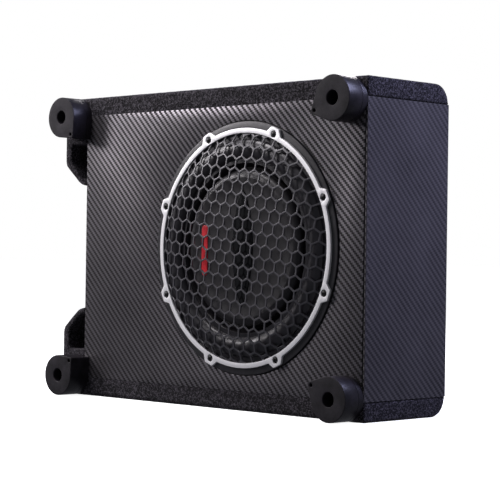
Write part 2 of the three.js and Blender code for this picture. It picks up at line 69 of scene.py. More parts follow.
# ---- Camera --------------------------------------------------------------------------------------
# A long lens, level with the middle of the box, looks at the corner beside the driver. The small roll
# is the tilt that the hand-held view has.
CAMERA_PLACE = (1.34404, -1.33472, 0.16219)
AZIMUTH = math.radians(44.715)
ELEVATION = math.radians(-0.231)
ROLL = math.radians(0.807)

camera = bpy.data.objects.new("camera", bpy.data.cameras.new("camera"))
camera.data.sensor_width = 36
camera.data.lens = 124.19
camera.data.clip_end = 60
backward = Vector(
    (
        math.sin(AZIMUTH) * math.cos(ELEVATION),
        -math.cos(AZIMUTH) * math.cos(ELEVATION),
        math.sin(ELEVATION),
    )
)
level = Vector((math.cos(AZIMUTH), math.sin(AZIMUTH), 0))
upward = backward.cross(level)
side = level * math.cos(ROLL) + upward * math.sin(ROLL)
top = upward * math.cos(ROLL) - level * math.sin(ROLL)
for column, axis in enumerate((side, top, backward, Vector(CAMERA_PLACE))):
    for row in range(3):
        camera.matrix_world[row][column] = axis[row]
bpy.context.scene.collection.objects.link(camera)
bpy.context.scene.camera = camera
bpy.context.scene.view_settings.view_transform = "Standard"

# ---- Box boards ----------------------------------------------------------------------------------
# The box is sawn from medium density fibreboard and glued. The left board is bare inside the amplifier's
# hole: a fine brown felt of wood dust with paler and darker fibres.


def linear(hex_colour):
    """An sRGB hex colour as the linear RGBA that shaders take."""
    levels = [int(hex_colour[i : i + 2], 16) / 255 for i in (1, 3, 5)]
    return (*[v / 12.92 if v <= 0.04045 else ((v + 0.055) / 1.055) ** 2.4 for v in levels], 1)


def add_node(material, kind, inputs=None, **settings):
    """Adds a node with its settings. Its inputs are values, or the outputs of earlier nodes."""
    made = material.node_tree.nodes.new(kind)
    for name, value in settings.items():
        setattr(made, name, value)
    for name, value in (inputs or {}).items():
        if isinstance(value, bpy.types.Node):
            value = value.outputs[0]
        if isinstance(value, bpy.types.NodeSocket):
            material.node_tree.links.new(value, made.inputs[name])
        else:
            made.inputs[name].default_value = value
    return made


def start_material(name):
    material = bpy.data.materials.new(name)
    material.use_nodes = True
    material.node_tree.nodes.clear()
    return material


def finish_material(material, **inputs):
    """The shader and the output: base_color becomes the socket Base Color, and so on."""
    sockets = {name.replace("_", " ").title().replace("Ior", "IOR"): v for name, v in inputs.items()}
    shader = add_node(material, "ShaderNodeBsdfPrincipled", sockets)
    add_node(material, "ShaderNodeOutputMaterial", {"Surface": shader})
    return material


def two_colours(material, factor, dark, light, low=0.0, high=1.0):
    """A ramp from a dark hex colour to a light one, between two values of the factor."""
    ramp = add_node(material, "ShaderNodeValToRGB", {"Fac": factor})
    ramp.color_ramp.elements[0].position = low
    ramp.color_ramp.elements[1].position = high
    ramp.color_ramp.elements[0].color = linear(dark)
    ramp.color_ramp.elements[1].color = linear(light)
    return ramp


def grain(material, millimetres, detail=3.0, roughness=0.6):
    """Noise whose blotches are about so many millimetres across, fixed to the piece."""
    place = add_node(material, "ShaderNodeTexCoord")
    scale = 1 / (millimetres * MM)
    inputs = {"Vector": place.outputs["Object"], "Scale": scale, "Detail": detail, "Roughness": roughness}
    return add_node(material, "ShaderNodeTexNoise", inputs).outputs["Fac"]


def bump(material, height, millimetres, strength=1.0):
    inputs = {"Height": height, "Distance": millimetres * MM, "Strength": strength}
    return add_node(material, "ShaderNodeBump", inputs)


def dress(material, slot, *nodes):
    """Gives CAD nodes that keep their shape a finished material."""
    for name in nodes:
        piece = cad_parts[name]
        piece.data.materials.clear()
        piece.data.materials.append(material)


fibreboard = start_material("fibreboard_sawn")
dust = grain(fibreboard, 0.8)
finish_material(
    fibreboard,
    base_color=two_colours(fibreboard, dust, "#8a6b48", "#b08d62", 0.35, 0.65),
    roughness=0.9,
    normal=bump(fibreboard, dust, 0.15),
)
dress(fibreboard, "fibreboard", "left_panel")

# Bare board would show as a pale line round the driver and between the film and the carpet, so the
# boards with edges there are coloured near black: painted shade in those gaps.
# Painted shade: a near-black board colour that keeps the gaps round the driver and under the film dark.
gap_shade_board = start_material("fibreboard_black_gap_shade")
finish_material(
    gap_shade_board,
    base_color=two_colours(gap_shade_board, grain(gap_shade_board, 0.8), "#0f0e10", "#1b1a1c", 0.35, 0.65),
    roughness=0.8,
)
dress(gap_shade_board, "fibreboard", "front_baffle", "right_panel", "back_panel")

# ---- Vinyl skin ----------------------------------------------------------------------------------
# PVC film, embossed and printed as a 2/2 twill of 2 mm carbon tows, is glued over the boards and turned
# in at the mitre. The embossing tilts each tow, so that the twill shows as 8 mm diagonal bands.
TOW = 2.0
FILM = 1.0 * MM
skin_low, skin_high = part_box("vinyl_wrap")
gasket_low, gasket_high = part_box("mounting_gasket")
DRIVER_X = (gasket_low.x + gasket_high.x) / 2
DRIVER_Z = (gasket_low.z + gasket_high.z) / 2
GASKET_RADIUS = (gasket_high.x - gasket_low.x) / 2
REBATE_RADIUS = GASKET_RADIUS + 0.9 * MM
FACE = skin_low.y


def circle(radius, steps=96, centre=(0, 0)):
    turns = [2 * math.pi * i / steps for i in range(steps)]
    return [(centre[0] + radius * math.cos(t), centre[1] + radius * math.sin(t)) for t in turns]


def softened(points, radius, steps=5, closed=True):
    """The same outline with each corner taken round. Radius is one value, or one for each point."""
    radii = radius if isinstance(radius, (list, tuple)) else [radius] * len(points)
    made = []
    for i, here in enumerate(points):
        ends = not closed and i in (0, len(points) - 1)
        if ends or radii[i] <= 0:
            made.append(tuple(here))
            continue
        here, before, after = Vector(here), Vector(points[i - 1]), Vector(points[(i + 1) % len(points)])
        reach = min(radii[i], (before - here).length / 2.05, (after - here).length / 2.05)
        start = here + (before - here).normalized() * reach
        end = here + (after - here).normalized() * reach
        for k in range(steps + 1):
            t = k / steps
            made.append(tuple(start * (1 - t) ** 2 + here * (2 * t * (1 - t)) + end * t * t))
    return made


def rectangle(low_u, high_u, low_v, high_v):
    return [(low_u, low_v), (high_u, low_v), (high_u, high_v), (low_u, high_v)]


def placed(u, v, w, axis):
    """A point of an outline (u, v), at w along the axis that the outline is drawn across."""
    return {"x": (w, u, v), "y": (u, w, v), "z": (u, v, w)}[axis]


def smooth(mesh, degrees=32):
    mesh.polygons.foreach_set("use_smooth", [True] * len(mesh.polygons))
    mesh.set_sharp_from_angle(angle=math.radians(degrees))
    mesh.update()


def plate(name, loops, low, high, axis, edge, segments=3):
    """A flat sheet or block: an outline and its holes, between two places on an axis, edges rounded."""
    shape = bmesh.new()
    rims = []
    for loop in loops:
        corners = [shape.verts.new(placed(u, v, low, axis)) for u, v in loop]
        rims += [shape.edges.new((corners[i - 1], corners[i])) for i in range(len(corners))]
    bmesh.ops.triangle_fill(shape, edges=rims, use_beauty=True)
    grown = bmesh.ops.extrude_face_region(shape, geom=shape.faces[:])
    moved = [part for part in grown["geom"] if isinstance(part, bmesh.types.BMVert)]
    bmesh.ops.translate(shape, verts=moved, vec=placed(0, 0, high - low, axis))
    bmesh.ops.recalc_face_normals(shape, faces=shape.faces)
    if edge > 0:
        sharp = [e for e in shape.edges if len(e.link_faces) == 2 and e.calc_face_angle(0) > 0.6]
        bmesh.ops.bevel(
            shape, geom=sharp, offset=edge, segments=segments, profile=0.5, affect="EDGES",
            clamp_overlap=True,
        )
    mesh = bpy.data.meshes.new(name)
    shape.to_mesh(mesh)
    shape.free()
    smooth(mesh)
    return mesh


def piece_of(mesh, material, body="root", stands_for=()):
    """A mesh becomes a piece of the object: it gets its finish, rides on a body and replaces CAD nodes."""
    piece = bpy.data.objects.new(mesh.name, mesh)
    bpy.context.scene.collection.objects.link(piece)
    mesh.materials.append(material)
    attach(piece, body)
    if stands_for:
        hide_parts(*stands_for)
    return piece


def carbon_film(name):
    """The twill: bands rise from lower right to upper left on each face that the film covers."""
    film = start_material(name)

    def sums(operation, a, b=None, c=None):
        values = {i: v for i, v in enumerate((a, b, c)) if v is not None}
        return add_node(film, "ShaderNodeMath", values, operation=operation).outputs[0]

    place = add_node(film, "ShaderNodeTexCoord")
    xyz = add_node(film, "ShaderNodeSeparateXYZ", {"Vector": place.outputs["Object"]})
    facing = add_node(film, "ShaderNodeSeparateXYZ", {"Vector": place.outputs["Normal"]})
    sideways = sums("GREATER_THAN", sums("ABSOLUTE", facing.outputs[0]), 0.7)
    across_mix = add_node(
        film, "ShaderNodeMix", {0: sideways, 2: xyz.outputs[0], 3: xyz.outputs[1]}, data_type="FLOAT"
    )
    across = sums("DIVIDE", across_mix.outputs[0], TOW * MM)
    along = sums("DIVIDE", xyz.outputs[2], TOW * MM)
    column, row = sums("FLOOR", across), sums("FLOOR", along)
    in_column, in_row = sums("FRACT", across), sums("FRACT", along)
    step = sums("FLOORED_MODULO", sums("ADD", column, row), 4.0)
    upright = sums("LESS_THAN", step, 1.5)
    half = sums("FLOORED_MODULO", step, 2.0)
    # A tow that lies on top spans two others: its height falls off to its sides and towards its ends.
    side_place = add_node(film, "ShaderNodeMix", {0: upright, 2: in_row, 3: in_column}, data_type="FLOAT")
    end_place = add_node(film, "ShaderNodeMix", {0: upright, 2: in_column, 3: in_row}, data_type="FLOAT")
    crown = sums("SINE", sums("MULTIPLY", side_place.outputs[0], math.pi))
    float_place = sums("MULTIPLY", sums("ADD", half, end_place.outputs[0]), math.pi / 2)
    crimp = sums("SINE", float_place)
    relief = sums("MULTIPLY", sums("POWER", crown, 0.6), sums("ADD", sums("MULTIPLY", crimp, 0.6), 0.4))
    fibres = sums("SINE", sums("MULTIPLY", side_place.outputs[0], 2 * math.pi * 7))
    height = sums("ADD", relief, sums("MULTIPLY", fibres, 0.05))
    blotches = grain(film, 60, detail=2.0)
    specks = grain(film, 0.9, detail=2.0)
    lying = sums("SUBTRACT", 1.0, upright)
    # On the side faces the weave is drawn paler, with less contrast and less metal than on the front and
    # back: painted light and shade for the softer light that falls on the sides.
    contrast = sums("SUBTRACT", 0.72, sums("MULTIPLY", sideways, 0.36))
    tone = sums("ADD", sums("MULTIPLY", lying, contrast), sums("MULTIPLY", relief, 0.08))
    # Painted light: the side faces get a paler tone.
    tone = sums("ADD", tone, sums("MULTIPLY", sideways, 0.08))
    tone = sums("ADD", tone, sums("MULTIPLY", sums("SUBTRACT", blotches, 0.5), 0.2))
    tone = sums("ADD", tone, sums("MULTIPLY", sums("SUBTRACT", specks, 0.5), 0.3))
    sheen = sums("MULTIPLY", lying, sums("SUBTRACT", 0.62, sums("MULTIPLY", sideways, 0.25)))
    sheer = sums("SUBTRACT", 0.8, sums("MULTIPLY", lying, 0.48))
    return finish_material(
        film,
        base_color=two_colours(film, tone, FILM_DARK, FILM_LIGHT),
        metallic=sheen,
        roughness=sums("ADD", sums("MULTIPLY", sums("SUBTRACT", specks, 0.5), 0.12), sheer),
        normal=bump(film, height, 0.1, 0.7),
        specular_ior_level=0.25,
    )


FILM_DARK = "#111011"
FILM_LIGHT = "#868287"
film = carbon_film("pvc_film_carbon_twill")

front_width = 230.0 * MM
front_loops = [
    rectangle(skin_low.x, front_width, skin_low.z, skin_high.z),
    circle(REBATE_RADIUS, 160, (DRIVER_X, DRIVER_Z)),
]
front_film = plate("baffle_film", front_loops, FACE, FACE + FILM, "y", 0.48 * MM)
piece_of(front_film, film, stands_for=["vinyl_wrap"])

amp_low, amp_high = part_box("amp_housing")
left_loops = [
    rectangle(FACE + FILM, skin_high.y - FILM, skin_low.z, skin_high.z),
    rectangle(amp_low.y, amp_high.y, amp_low.z, amp_high.z),
]
left_film = plate("left_film", left_loops, skin_low.x, skin_low.x + FILM, "x", 0.2 * MM)
piece_of(left_film, film)

# One sheet runs from the mitre round the right edge, over the side and round onto the back.
bead = front_width + 1.5 * MM
EDGE_ROUND = 2.2 * MM
side_path = [
    (bead, FACE + 1.0 * MM),
    (bead, FACE),
    (skin_high.x, FACE),
    (skin_high.x, skin_high.y),
    (skin_low.x, skin_high.y),
    (skin_low.x, skin_high.y - FILM),
    (skin_high.x - FILM, skin_high.y - FILM),
    (skin_high.x - FILM, FACE + 1.0 * MM),
]
side_outline = softened(side_path, [0, 0.5 * MM, EDGE_ROUND, 3 * MM, 1 * MM, 0, 2.4 * MM, 0])
side_span = (skin_low.z, skin_high.z)
side_film = plate("side_and_back_film", [side_outline], *side_span, "z", 0.0)
piece_of(side_film, film)

seam = start_material("mitre_seam_shadow_black")
finish_material(
    seam,
    base_color=two_colours(seam, grain(seam, 1.5), "#0c0c0d", "#17171a"),
    roughness=0.8,
)
seam_loop = [rectangle(front_width - 0.3 * MM, bead + 0.3 * MM, *side_span)]
seam_strip = plate("mitre_seam", seam_loop, FACE + 0.85 * MM, FACE + 0.98 * MM, "y", 0.0)
piece_of(seam_strip, seam)

# ---- End panels and guard wings ------------------------------------------------------------------
# Needle-punched polyester box carpet, charcoal with paler and darker fibres, is glued round the end
# panels and the guard wings. It rounds every edge softly and its nap breaks up the outline a little.
CARPET_STEP = 3.2 * MM
NAP = 0.22


def even_loop(points, step):
    """The closed outline again, with points about a step apart."""
    closed = np.array([*points, points[0]], float)
    lengths = np.r_[0, np.cumsum(np.hypot(*np.diff(closed, axis=0).T))]
    count = max(12, round(lengths[-1] / step))
    at = np.linspace(0, lengths[-1], count, endpoint=False)
    return np.c_[np.interp(at, lengths, closed[:, 0]), np.interp(at, lengths, closed[:, 1])]


def inward(loop):
    """Unit vectors that point into an anticlockwise outline."""
    ahead = np.roll(loop, -1, axis=0) - np.roll(loop, 1, axis=0)
    ahead /= np.linalg.norm(ahead, axis=1)[:, None]
    return np.c_[-ahead[:, 1], ahead[:, 0]]


def carpeted(name, points, low, high, axis, edge):
    """A bar of even section, in squares small enough to take the nap, with its two end edges rounded."""
    loop = even_loop(points, CARPET_STEP)
    area = np.sum(loop[:, 0] * np.roll(loop[:, 1], -1) - np.roll(loop[:, 0], -1) * loop[:, 1])
    if area < 0:
        loop = loop[::-1]
    normal = inward(loop)
    turns = np.linspace(0, math.pi / 2, 5)
    spans = max(2, round((high - low - 2 * edge) / CARPET_STEP))
    middle = np.linspace(low + edge, high - edge, spans + 1)
    stations = [(low + edge * (1 - math.sin(t)), edge * (1 - math.cos(t))) for t in turns[::-1][:-1]]
    stations += [(w, 0.0) for w in middle]
    stations += [(high - edge * (1 - math.sin(t)), edge * (1 - math.cos(t))) for t in turns[1:]]
    shape = bmesh.new()
    rings = []
    for w, inset in stations:
        rings.append([shape.verts.new(placed(u, v, w, axis)) for u, v in loop + normal * inset])
    for one, two in zip(rings, rings[1:]):
        for i in range(len(loop)):
            shape.faces.new((one[i - 1], one[i], two[i], two[i - 1]))
    for cap in (rings[0], rings[-1]):
        rim = [shape.edges.get((cap[i - 1], cap[i])) for i in range(len(cap))]
        bmesh.ops.triangle_fill(shape, edges=rim, use_beauty=True)
    bmesh.ops.recalc_face_normals(shape, faces=shape.faces)
    mesh = bpy.data.meshes.new(name)
    shape.to_mesh(mesh)
    shape.free()
    smooth(mesh, 60)
    return mesh


def raise_nap(mesh, seed, low, high):
    """Small uneven moves along the normals, kept inside the CAD box."""
    chance = np.random.default_rng(seed)
    count = len(mesh.vertices)
    places, normals = np.empty(count * 3, np.float32), np.empty(count * 3, np.float32)
    mesh.vertices.foreach_get("co", places)
    mesh.vertices.foreach_get("normal", normals)
    moves = (chance.random(count) - 1) * NAP * MM
    places = places.reshape(-1, 3) + normals.reshape(-1, 3) * moves[:, None]
    places = np.clip(places, np.array(low), np.array(high))
    mesh.vertices.foreach_set("co", places.astype(np.float32).ravel())
    mesh.update()


def box_carpet(name, dark, light):
    carpet = start_material(name)
    tufts = grain(carpet, 2.0, detail=1.0, roughness=0.6)
    fibre = grain(carpet, 1.1, detail=1.0, roughness=0.7)
    both = add_node(carpet, "ShaderNodeMath", {0: tufts, 1: fibre}, operation="ADD")
    tone = add_node(carpet, "ShaderNodeMath", {0: both, 1: 0.5}, operation="MULTIPLY")
    return finish_material(
        carpet,
        base_color=two_colours(carpet, tone, dark, light, 0.47, 0.66),
        roughness=1.0,
        normal=bump(carpet, tone, 1.2, 0.8),
        sheen_weight=0.1,
        sheen_roughness=0.6,
        sheen_tint=linear("#b7b4bb"),
        specular_ior_level=0.2,
    )


CARPET_DARK = "#060507"
CARPET_LIGHT = "#5c585f"
carpet = box_carpet("polyester_box_carpet_charcoal", CARPET_DARK, CARPET_LIGHT)

PANEL_ROUND = 20 * MM
EDGE = 2.6 * MM
for end, seed in (("lower", 3), ("upper", 5)):
    low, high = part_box(f"{end}_carpet")
    outer, inner = (low.z, high.z) if end == "lower" else (high.z, low.z)
    rise = 1 if outer > inner else -1
    hub = (high.y - PANEL_ROUND, outer - rise * PANEL_ROUND)
    bends = [math.pi / 2 * i / 12 for i in range(13)]
    arc = [(hub[0] + PANEL_ROUND * math.sin(t), hub[1] + rise * PANEL_ROUND * math.cos(t)) for t in bends]
    front = softened([(low.y, inner), (low.y, outer), arc[0]], [0, EDGE, 0], 6, closed=False)
    section = [*front, *arc[1:], (high.y, inner)]
    mesh = carpeted(f"{end}_end_panel_carpet", section, low.x, high.x, "x", EDGE)
    raise_nap(mesh, seed, low, high)
    piece_of(mesh, carpet, stands_for=[f"{end}_carpet", f"{end}_end_board"])

WING_WALL = 11 * MM
for end, sign in (("lower", -1), ("upper", 1)):
    low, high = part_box(f"{end}_guard")
    tip, root_z = (high.z, low.z) if end == "lower" else (low.z, high.z)
    middle_z = (CAD_BOX[0][2] + CAD_BOX[1][2]) / 2
    reaches = [(low.x, 94.7), (-206 * MM, 72), (high.x, 70), (high.x, 77), (-203.5 * MM, 79)]
    reaches += [(low.x + WING_WALL, 97), (low.x + WING_WALL, 118.5), (high.x, 118.5)]
    section = [(low.x, root_z)]
    section += [(x, middle_z + sign * reach * MM) for x, reach in reaches]
    section += [(high.x, root_z)]
    corner = [0, 6 * MM, 5 * MM, 1 * MM, 1 * MM, 5 * MM, 4 * MM, 2.5 * MM, 1 * MM, 0]
    mesh = carpeted(f"{end}_guard_wing", softened(section, corner, 6), low.y, high.y, "y", EDGE)
    raise_nap(mesh, seed + 7, low, high)
    piece_of(mesh, carpet, stands_for=[f"{end}_guard"])

# ---- Feet ----------------------------------------------------------------------------------------
# Moulded black rubber discs, 27 mm tall, with one square corner that has a pin hole. The faces are
# dusty and speckled from the mould, and the sides are smoother, with a faint sheen.
FOOT_RADIUS = 23 * MM
WELL_RADIUS = 7.5 * MM
FOOT_POINTS = {"lower_left": 41, "lower_right": 151, "upper_left": -50, "upper_right": 206}
foot_inset = 23.2 * MM
foot_x = {"left": -209.5 * MM, "right": 210 * MM}
foot_z = {"lower": foot_inset, "upper": CAD_BOX[1][2] - foot_inset}

foot_rubber = start_material("moulded_rubber_dusty_black")
pits = grain(foot_rubber, 1.1, detail=4.0, roughness=0.8)
smudge = grain(foot_rubber, 14, detail=3.0)
foot_tone = add_node(foot_rubber, "ShaderNodeMath", {0: pits, 1: smudge, 2: 0.0}, operation="ADD")
foot_half = add_node(foot_rubber, "ShaderNodeMath", {0: foot_tone, 1: 0.5}, operation="MULTIPLY")
foot_side = add_node(foot_rubber, "ShaderNodeTexCoord")
foot_side = add_node(foot_rubber, "ShaderNodeSeparateXYZ", {"Vector": foot_side.outputs["Normal"]})
foot_side = add_node(foot_rubber, "ShaderNodeMath", {0: foot_side.outputs["Y"]}, operation="ABSOLUTE")
foot_sheen = add_node(
    foot_rubber, "ShaderNodeMapRange", {"Value": foot_side, 1: 0.2, 2: 0.9, 3: 0.33, 4: 0.75}
)
finish_material(
    foot_rubber,
    base_color=two_colours(foot_rubber, foot_half, "#0f0d11", "#2b282e", 0.38, 0.62),
    roughness=foot_sheen,
    normal=bump(foot_rubber, pits, 0.18, 0.6),
    specular_ior_level=0.35,
)

black_screw = start_material("steel_screw_black_zinc")
finish_material(
    black_screw,
    base_color=two_colours(black_screw, grain(black_screw, 0.7), "#070708", "#121213", 0.3, 0.7),
    metallic=0.3,
    roughness=0.42,
    normal=bump(black_screw, grain(black_screw, 0.4), 0.03),
)


def turned_mesh(name, profile, axis, centre, steps=96, closed=True):
    """A profile of (radius, place on the axis) points, turned about a line through centre."""
    shape = bmesh.new()
    rings = []
    for turn in range(steps):
        c, s = math.cos(2 * math.pi * turn / steps), math.sin(2 * math.pi * turn / steps)
        spots = [placed(centre[0] + r * c, centre[1] + r * s, w, axis) for r, w in profile]
        rings.append([shape.verts.new(spot) for spot in spots])
    last = len(profile) if closed else len(profile) - 1
    for one, two in zip(rings, rings[1:] + rings[:1]):
        for i in range(last):
            k = (i + 1) % len(profile)
            if profile[i][0] < 1e-9 and profile[k][0] < 1e-9:
                continue
            shape.faces.new((one[i], one[k], two[k], two[i]))
    bmesh.ops.remove_doubles(shape, verts=shape.verts, dist=1e-7)
    bmesh.ops.recalc_face_normals(shape, faces=shape.faces)
    mesh = bpy.data.meshes.new(name)
    shape.to_mesh(mesh)
    shape.free()
    smooth(mesh, 40)
    return mesh


def foot_outline(centre, degrees):
    """A circle with one square corner that points in a direction, its tip slightly rounded."""
    tip = math.radians(degrees)
    arc = 1.5 * math.pi
    steps = 72
    turns = [tip + math.pi / 4 + arc * i / steps for i in range(steps + 1)]
    rim = [(FOOT_RADIUS * math.cos(t), FOOT_RADIUS * math.sin(t)) for t in turns]
    soft = 2.0 * MM
    reach = (FOOT_RADIUS - soft) * math.sqrt(2)
    hub = (reach * math.cos(tip), reach * math.sin(tip))
    turns = [tip - math.pi / 4 + math.pi / 2 * i / 6 for i in range(7)]
    rim += [(hub[0] + soft * math.cos(t), hub[1] + soft * math.sin(t)) for t in turns]
    return [(centre[0] + u, centre[1] + v) for u, v in rim]


def cross_screw(name, centre, axis, tip_out, head_radius, head_height, shank_radius, shank_end):
    """A pan head with a round dished recess, on its plain shank. tip_out is the top of the head."""
    inward_sign = 1 if shank_end > tip_out else -1
    under = tip_out + inward_sign * head_height
    dome = [(head_radius * f, tip_out + inward_sign * head_height * (1 - math.sqrt(1 - f * f)) * 0.75)
            for f in (0.0, 0.3, 0.55, 0.75, 0.9, 0.98)]
    dish = inward_sign * head_height * 0.55
    dome[0] = (0.0, tip_out + dish)
    dome.insert(1, (head_radius * 0.2, tip_out + dish))
    dome[2] = (head_radius * 0.34, dome[2][1])
    profile = [*dome, (head_radius, under - inward_sign * 0.15 * head_height), (head_radius, under)]
    profile += [(shank_radius, under), (shank_radius, shank_end), (0.0, shank_end)]
    return turned_mesh(name, profile, axis, centre, 32, closed=False)


for foot, degrees in FOOT_POINTS.items():
    end, hand = foot.split("_")
    low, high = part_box(f"{foot}_foot")
    centre = (foot_x[hand], foot_z[end])
    pin = 26.5 * MM
    angle = math.radians(degrees)
    pin_centre = (centre[0] + pin * math.cos(angle), centre[1] + pin * math.sin(angle))
    loops = [foot_outline(centre, degrees), circle(WELL_RADIUS, 48, centre), circle(1.9 * MM, 20, pin_centre)]
    mesh = plate(f"{foot}_rubber_foot", loops, low.y, high.y - 7 * MM, "y", 0.9 * MM, 4)
    piece_of(mesh, foot_rubber, stands_for=[f"{foot}_foot"])
    base_loops = [foot_outline(centre, degrees), circle(2 * MM, 20, centre)]
    base = plate(f"{foot}_foot_base", base_loops, high.y - 7.1 * MM, high.y, "y", 0.0)
    piece_of(base, foot_rubber)
    screw_low, screw_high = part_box(f"{foot}_foot_screw")
    screw = cross_screw(
        f"{foot}_foot_wood_screw", centre, "y", screw_low.y, 5.3 * MM, 3.4 * MM, 1.7 * MM, screw_high.y
    )
    piece_of(screw, black_screw, stands_for=[f"{foot}_foot_screw"])

# ---- Driver rim ----------------------------------------------------------------------------------
# A satin grey-black rubber gasket lies in the baffle's rebate. A die-cast aluminium trim ring, polished,
# clamps the grille's edge under eight lugs, each held by a black machine screw.
SCREWS = 8
FIRST_SCREW = 24.2
HOLE_CIRCLE = 126 * MM
RING_INNER = 119.8 * MM
RING_BORE = 121.0 * MM
RING_OUTER = 126 * MM
LUG_TIP = 132.8 * MM
LUG_HOLE = 3.9 * MM  # wider than the screw heads, so that each lug shows a dark dot
driver = (DRIVER_X, DRIVER_Z)
ring_low, ring_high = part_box("trim_ring")
screw_turns = [math.radians(FIRST_SCREW + 360 / SCREWS * i) for i in range(SCREWS)]


def polar(radius, turn):
    return (DRIVER_X + radius * math.cos(turn), DRIVER_Z + radius * math.sin(turn))


gasket_rubber = start_material("gasket_rubber_satin")
haze = grain(gasket_rubber, 9, detail=4.0)
finish_material(
    gasket_rubber,
    base_color=two_colours(gasket_rubber, haze, "#282729", "#343336", 0.3, 0.7),
    roughness=0.36,
    normal=bump(gasket_rubber, grain(gasket_rubber, 0.5), 0.04),
    specular_ior_level=0.4,
)
gasket_loops = [circle(GASKET_RADIUS, 160, driver), circle(RING_INNER, 160, driver)]
gasket = plate("rubber_gasket", gasket_loops, gasket_low.y, gasket_high.y, "y", 0.7 * MM)
piece_of(gasket, gasket_rubber, stands_for=["mounting_gasket"])

polished = start_material("aluminium_die_cast_polished")
buffing = grain(polished, 1.6, detail=4.0)
finish_material(
    polished,
    base_color=two_colours(polished, buffing, "#f8f8f9", "#ffffff", 0.3, 0.7),
    metallic=0.4,
    roughness=0.45,
    normal=bump(polished, grain(polished, 0.6), 0.02, 0.5),
)


def lugged_ring():
    outline = []
    for turn in screw_turns:
        wide, narrow = math.radians(4.8), math.radians(2.4)
        lug = [polar(RING_OUTER, turn - wide), polar(LUG_TIP, turn - narrow)]
        lug += [polar(LUG_TIP, turn + narrow), polar(RING_OUTER, turn + wide)]
        bend = math.radians(360 / SCREWS) - 2 * wide
        arc = [polar(RING_OUTER, turn + wide + bend * i / 18) for i in range(1, 18)]
        outline += softened([polar(RING_OUTER, turn - wide * 1.25), *lug, arc[0]],
                            [0, 1.0 * MM, 0.9 * MM, 0.9 * MM, 1.0 * MM, 0], 3, closed=False)
        outline += arc[1:-1]
    return outline


ring_loops = [lugged_ring(), circle(RING_BORE, 160, driver)]
ring_loops += [circle(LUG_HOLE, 24, polar(HOLE_CIRCLE, turn)) for turn in screw_turns]
trim = plate("polished_trim_ring", ring_loops, ring_low.y, ring_high.y - 0.05 * MM, "y", 0.25 * MM)
piece_of(trim, polished, stands_for=["trim_ring"])

for i, turn in enumerate(screw_turns, 1):
    low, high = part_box(f"trim_screw_{i}")
    screw = cross_screw(
        f"trim_machine_screw_{i}", polar(HOLE_CIRCLE, turn), "y", low.y,
        3.1 * MM, 1.6 * MM, 1.7 * MM, high.y,
    )
    piece_of(screw, black_screw, stands_for=[f"trim_screw_{i}"])

# ---- Grille --------------------------------------------------------------------------------------
# Steel sheet, punched with hexagons and pressed into a shallow dome, with a dark grey powder coat that
# rounds the strands. Its flat rim is held under the trim ring.
HEX_ROW = 12.5 * MM
HEX_PITCH = HEX_ROW * 2 / math.sqrt(3)
STRAND = 1.8 * MM
GRILLE_SHEET = 1.2 * MM
GRILLE_RIM = 121.6 * MM
HEX_SHIFT = Vector((3.1 * MM, -0.1 * MM))
HEX_TURN = Matrix.Rotation(math.radians(-7), 2)
grille_low, grille_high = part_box("grille_mesh")
crown = FACE - grille_low.y - 0.7 * MM
DOME = [(0.0, crown), (40.0, crown - 0.2 * MM), (72.0, crown - 1.3 * MM), (96.0, crown - 3.0 * MM),
        (108.0, crown - 6.0 * MM), (116.5, crown - 10.2 * MM), (119.5, 2.2 * MM), (122.0, 2.2 * MM)]


def dome_height(radius):
    """How far the middle of the sheet stands in front of the baffle, at a distance from the axis."""
    return float(np.interp(radius / MM, [r for r, _ in DOME], [h for _, h in DOME]))


def clipped(corners, radius):
    """The part of a convex outline that lies inside a circle about the driver's axis."""
    sides = 120
    for i in range(sides):
        turn = 2 * math.pi * (i + 0.5) / sides
        away = Vector((math.cos(turn), math.sin(turn)))
        kept = []
        for k, here in enumerate(corners):
            before = corners[k - 1]
            out_here, out_before = here.dot(away) - radius, before.dot(away) - radius
            if out_here * out_before < 0:
                kept.append(before.lerp(here, out_before / (out_before - out_here)))
            if out_here <= 0:
                kept.append(here)
        corners = kept
        if len(corners) < 3:
            return []
    return corners


def hex_sheet():
    """The middle of the sheet: hexagon cells, each with its hole cut out, joined along their edges."""
    shape = bmesh.new()
    reach = int(GRILLE_RIM / HEX_ROW) + 2
    hex_radius = HEX_ROW / 1.5
    for row in range(-reach, reach + 1):
        for column in range(-reach, reach + 1):
            middle = Vector(((column + 0.5 * (row % 2)) * HEX_PITCH, row * HEX_ROW))
            corners = [
                middle + Vector((math.sin(k * math.pi / 3), math.cos(k * math.pi / 3))) * hex_radius
                for k in range(6)
            ]
            corners = [HEX_TURN @ corner + HEX_SHIFT for corner in corners]
            corners = clipped(corners, GRILLE_RIM)
            if len(corners) > 2:
                shape.faces.new([shape.verts.new((c.x, 0, c.y)) for c in corners])
    bmesh.ops.recalc_face_normals(shape, faces=shape.faces)
    shape.normal_update()
    whole = 1.5 * math.sqrt(3) * hex_radius**2
    punched = [face for face in shape.faces if face.calc_area() > 0.18 * whole]
    bmesh.ops.inset_individual(shape, faces=punched, thickness=STRAND / 2, use_even_offset=True)
    bmesh.ops.delete(shape, geom=punched, context="FACES")
    bmesh.ops.remove_doubles(shape, verts=shape.verts, dist=0.3 * MM)
    for corner in shape.verts:
        radius = math.hypot(corner.co.x, corner.co.z)
        corner.co.y = FACE - dome_height(radius)
        corner.co.x += DRIVER_X
        corner.co.z += DRIVER_Z
    bmesh.ops.recalc_face_normals(shape, faces=shape.faces)
    mesh = bpy.data.meshes.new("hexagon_grille")
    shape.to_mesh(mesh)
    shape.free()
    return mesh


